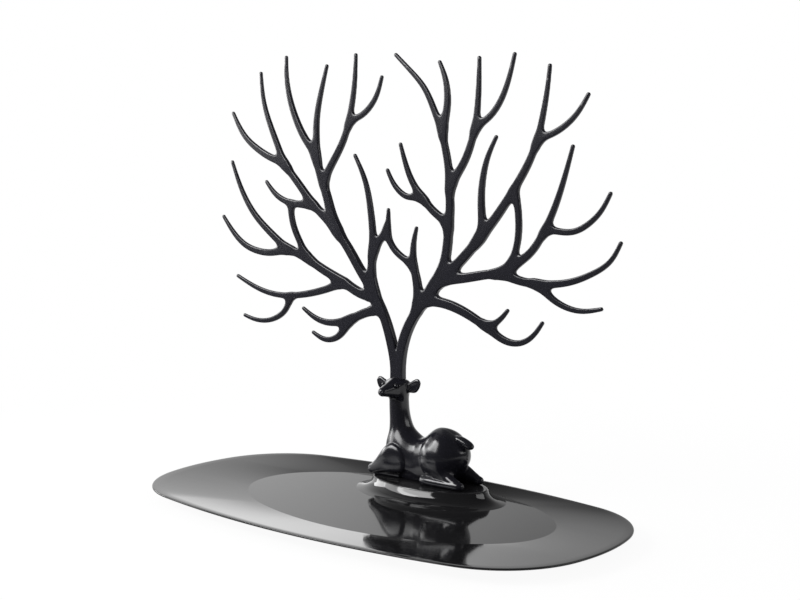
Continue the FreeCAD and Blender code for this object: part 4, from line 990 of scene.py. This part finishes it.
stageSettings = {
    "eye": (476.6, -550.7, 197.2), "aim": (21.4, 7.6, 119.4),
    "lens": 60.3, "sensor": 36.0, "clipStart": 0.01,
    "floorSize": 6.0, "floorColour": (0.9, 0.9, 0.9, 1.0),
    "floorWhite": (0.94, 1.0), "shadowReach": (0.16, 0.42),
    # the floor as mirrored: dim in front of the stand, white behind it
    "floorSide": (0.4, 0.92), "floorMirror": (-0.2, 0.2, 0.12),
    "roomLevel": 0.55, "darkLevel": 0.05,
    # the white sweep behind the stand: its direction from the stand, and its brightness by height
    "sweepSide": (-0.63, 0.777), "sweepLevel": 1.8, "sweepWidth": (-0.1, 0.5),
    "sweepRise": [
        (0.0, 1.0), (0.06, 1.0), (0.11, 0.56), (0.24, 0.5),
        (0.3, 0.4), (0.38, 0.22), (0.6, 0.08), (1.0, 0.03),
    ],
    # on its left it is brighter and reaches higher
    "sweepFade": (-0.16, 0.16, 1.08, 0.55), "sweepLift": 0.56,
    # lamps: name, place, width and height, roll, power
    "lampAim": (0.01, 0.04, 0.03),
    "lamps": [
        ("leftStrip", (-0.97, -0.595, 0.478), (1.15, 0.36), 58.0, 6.0),
        ("upperSoftbox", (-0.61, -0.845, 0.67), (0.75, 0.5), 0.0, 11.5),
        ("lowLeft", (-1.08, -0.1, 0.26), (0.5, 0.22), 0.0, 2.6),
        ("rightStrip", (1.05, 0.36, 0.56), (0.9, 0.36), 0.0, 2.7),
    ],
}


def smoothMap(tree, value, start, stop, low=0.0, high=1.0):
    return makeNode(
        tree, "ShaderNodeMapRange", {"interpolation_type": "SMOOTHSTEP"}, Value=value,
        From_Min=start, From_Max=stop, To_Min=low, To_Max=high,
    )


def seenRays(tree):
    # 1 for what the camera sees, directly, mirrored or through something clear
    kinds = ("Is Camera Ray", "Is Glossy Ray", "Is Transmission Ray")
    camera, glossy, clear = (makeNode(tree, "ShaderNodeLightPath", output=kind) for kind in kinds)
    return camera.math("MAXIMUM", camera.math("MAXIMUM", camera, glossy), clear)


def addCamera(s):
    scene = bpy.context.scene
    camera = bpy.data.objects.new("camera", bpy.data.cameras.new("camera"))
    scene.collection.objects.link(camera)
    camera.location = Vector(s["eye"]) * mm
    toAim = Vector(s["aim"]) * mm - camera.location
    camera.rotation_euler = toAim.to_track_quat("-Z", "Y").to_euler()
    camera.data.lens = s["lens"]
    camera.data.sensor_width = s["sensor"]
    camera.data.clip_start = s["clipStart"]
    scene.camera = camera


def addFloor(s):
    half = s["floorSize"] / 2
    corners = [(-half, -half, 0), (half, -half, 0), (half, half, 0), (-half, half, 0)]
    finish = Finish("paleFloor")
    diffuse = finish.make("ShaderNodeBsdfDiffuse", Color=s["floorColour"])
    place = finish.make("ShaderNodeTexCoord", output="Object")
    x, y = (finish.make("ShaderNodeSeparateXYZ", output=k, Vector=place) for k in range(2))
    front, back, dim = s["floorMirror"]
    mirrored = smoothMap(finish.tree, x * s["floorSide"][0] + y * s["floorSide"][1], front, back, dim)
    direct = finish.make("ShaderNodeLightPath", output="Is Camera Ray")
    white = finish.make("ShaderNodeEmission", Color=direct + (1 - direct) * mirrored, Strength=1.0)
    away = finish.make("ShaderNodeVectorMath", {"operation": "LENGTH"}, output="Value", Vector=place)
    share = smoothMap(finish.tree, away, *s["shadowReach"], *s["floorWhite"])
    mixed = finish.make("ShaderNodeMixShader", n0=seenRays(finish.tree) * share, n1=diffuse, n2=white)
    finish.make("ShaderNodeOutputMaterial", Surface=mixed)
    floor = addObject("floor", meshFrom("floor", corners, [(0, 1, 2, 3)]), finish.material)


def studioWorld(s):
    world = bpy.data.worlds.new("studio")
    world.use_nodes = True
    tree = world.node_tree
    tree.nodes.clear()
    place = makeNode(tree, "ShaderNodeTexCoord", output="Generated")
    x, y, z = (makeNode(tree, "ShaderNodeSeparateXYZ", output=k, Vector=place) for k in range(3))
    sideX, sideY = s["sweepSide"]
    behind = x * sideX + y * sideY
    across = x * sideY - y * sideX
    left, right, bright, dim = s["sweepFade"]
    cover = smoothMap(tree, behind, *s["sweepWidth"])
    fade = smoothMap(tree, across, left, right, bright, dim)
    lift = smoothMap(tree, across, left, right, s["sweepLift"])
    rise = makeNode(tree, "ShaderNodeValToRGB", {"stops": s["sweepRise"]}, Fac=z * lift)
    mirrored = s["darkLevel"] + cover * fade * rise * s["sweepLevel"]
    direct = makeNode(tree, "ShaderNodeLightPath", output="Is Camera Ray")
    level = direct + (1 - direct) * mirrored
    sweep = makeNode(tree, "ShaderNodeBackground", Color=(1, 1, 1, 1), Strength=level)
    room = makeNode(tree, "ShaderNodeBackground", Color=(1, 1, 1, 1), Strength=s["roomLevel"])
    mixed = makeNode(tree, "ShaderNodeMixShader", n0=seenRays(tree), n1=room, n2=sweep)
    makeNode(tree, "ShaderNodeOutputWorld", Surface=mixed)
    return world


def addLamps(s):
    for name, place, (width, height), roll, power in s["lamps"]:
        lamp = bpy.data.lights.new(name, "AREA")
        lamp.shape = "RECTANGLE"
        lamp.size = width
        lamp.size_y = height
        lamp.energy = power
        holder = bpy.data.objects.new(name, lamp)
        bpy.context.scene.collection.objects.link(holder)
        holder.location = place
        facing = (Vector(s["lampAim"]) - Vector(place)).to_track_quat("-Z", "Y")
        holder.rotation_euler = (facing @ Quaternion((0, 0, 1), math.radians(roll))).to_euler()


def buildStage(s):
    addCamera(s)
    bpy.context.scene.view_settings.view_transform = "Standard"
    addFloor(s)
    bpy.context.scene.world = studioWorld(s)
    addLamps(s)


buildStage(stageSettings)
print("stage made")

bpy.context.view_layer.update()
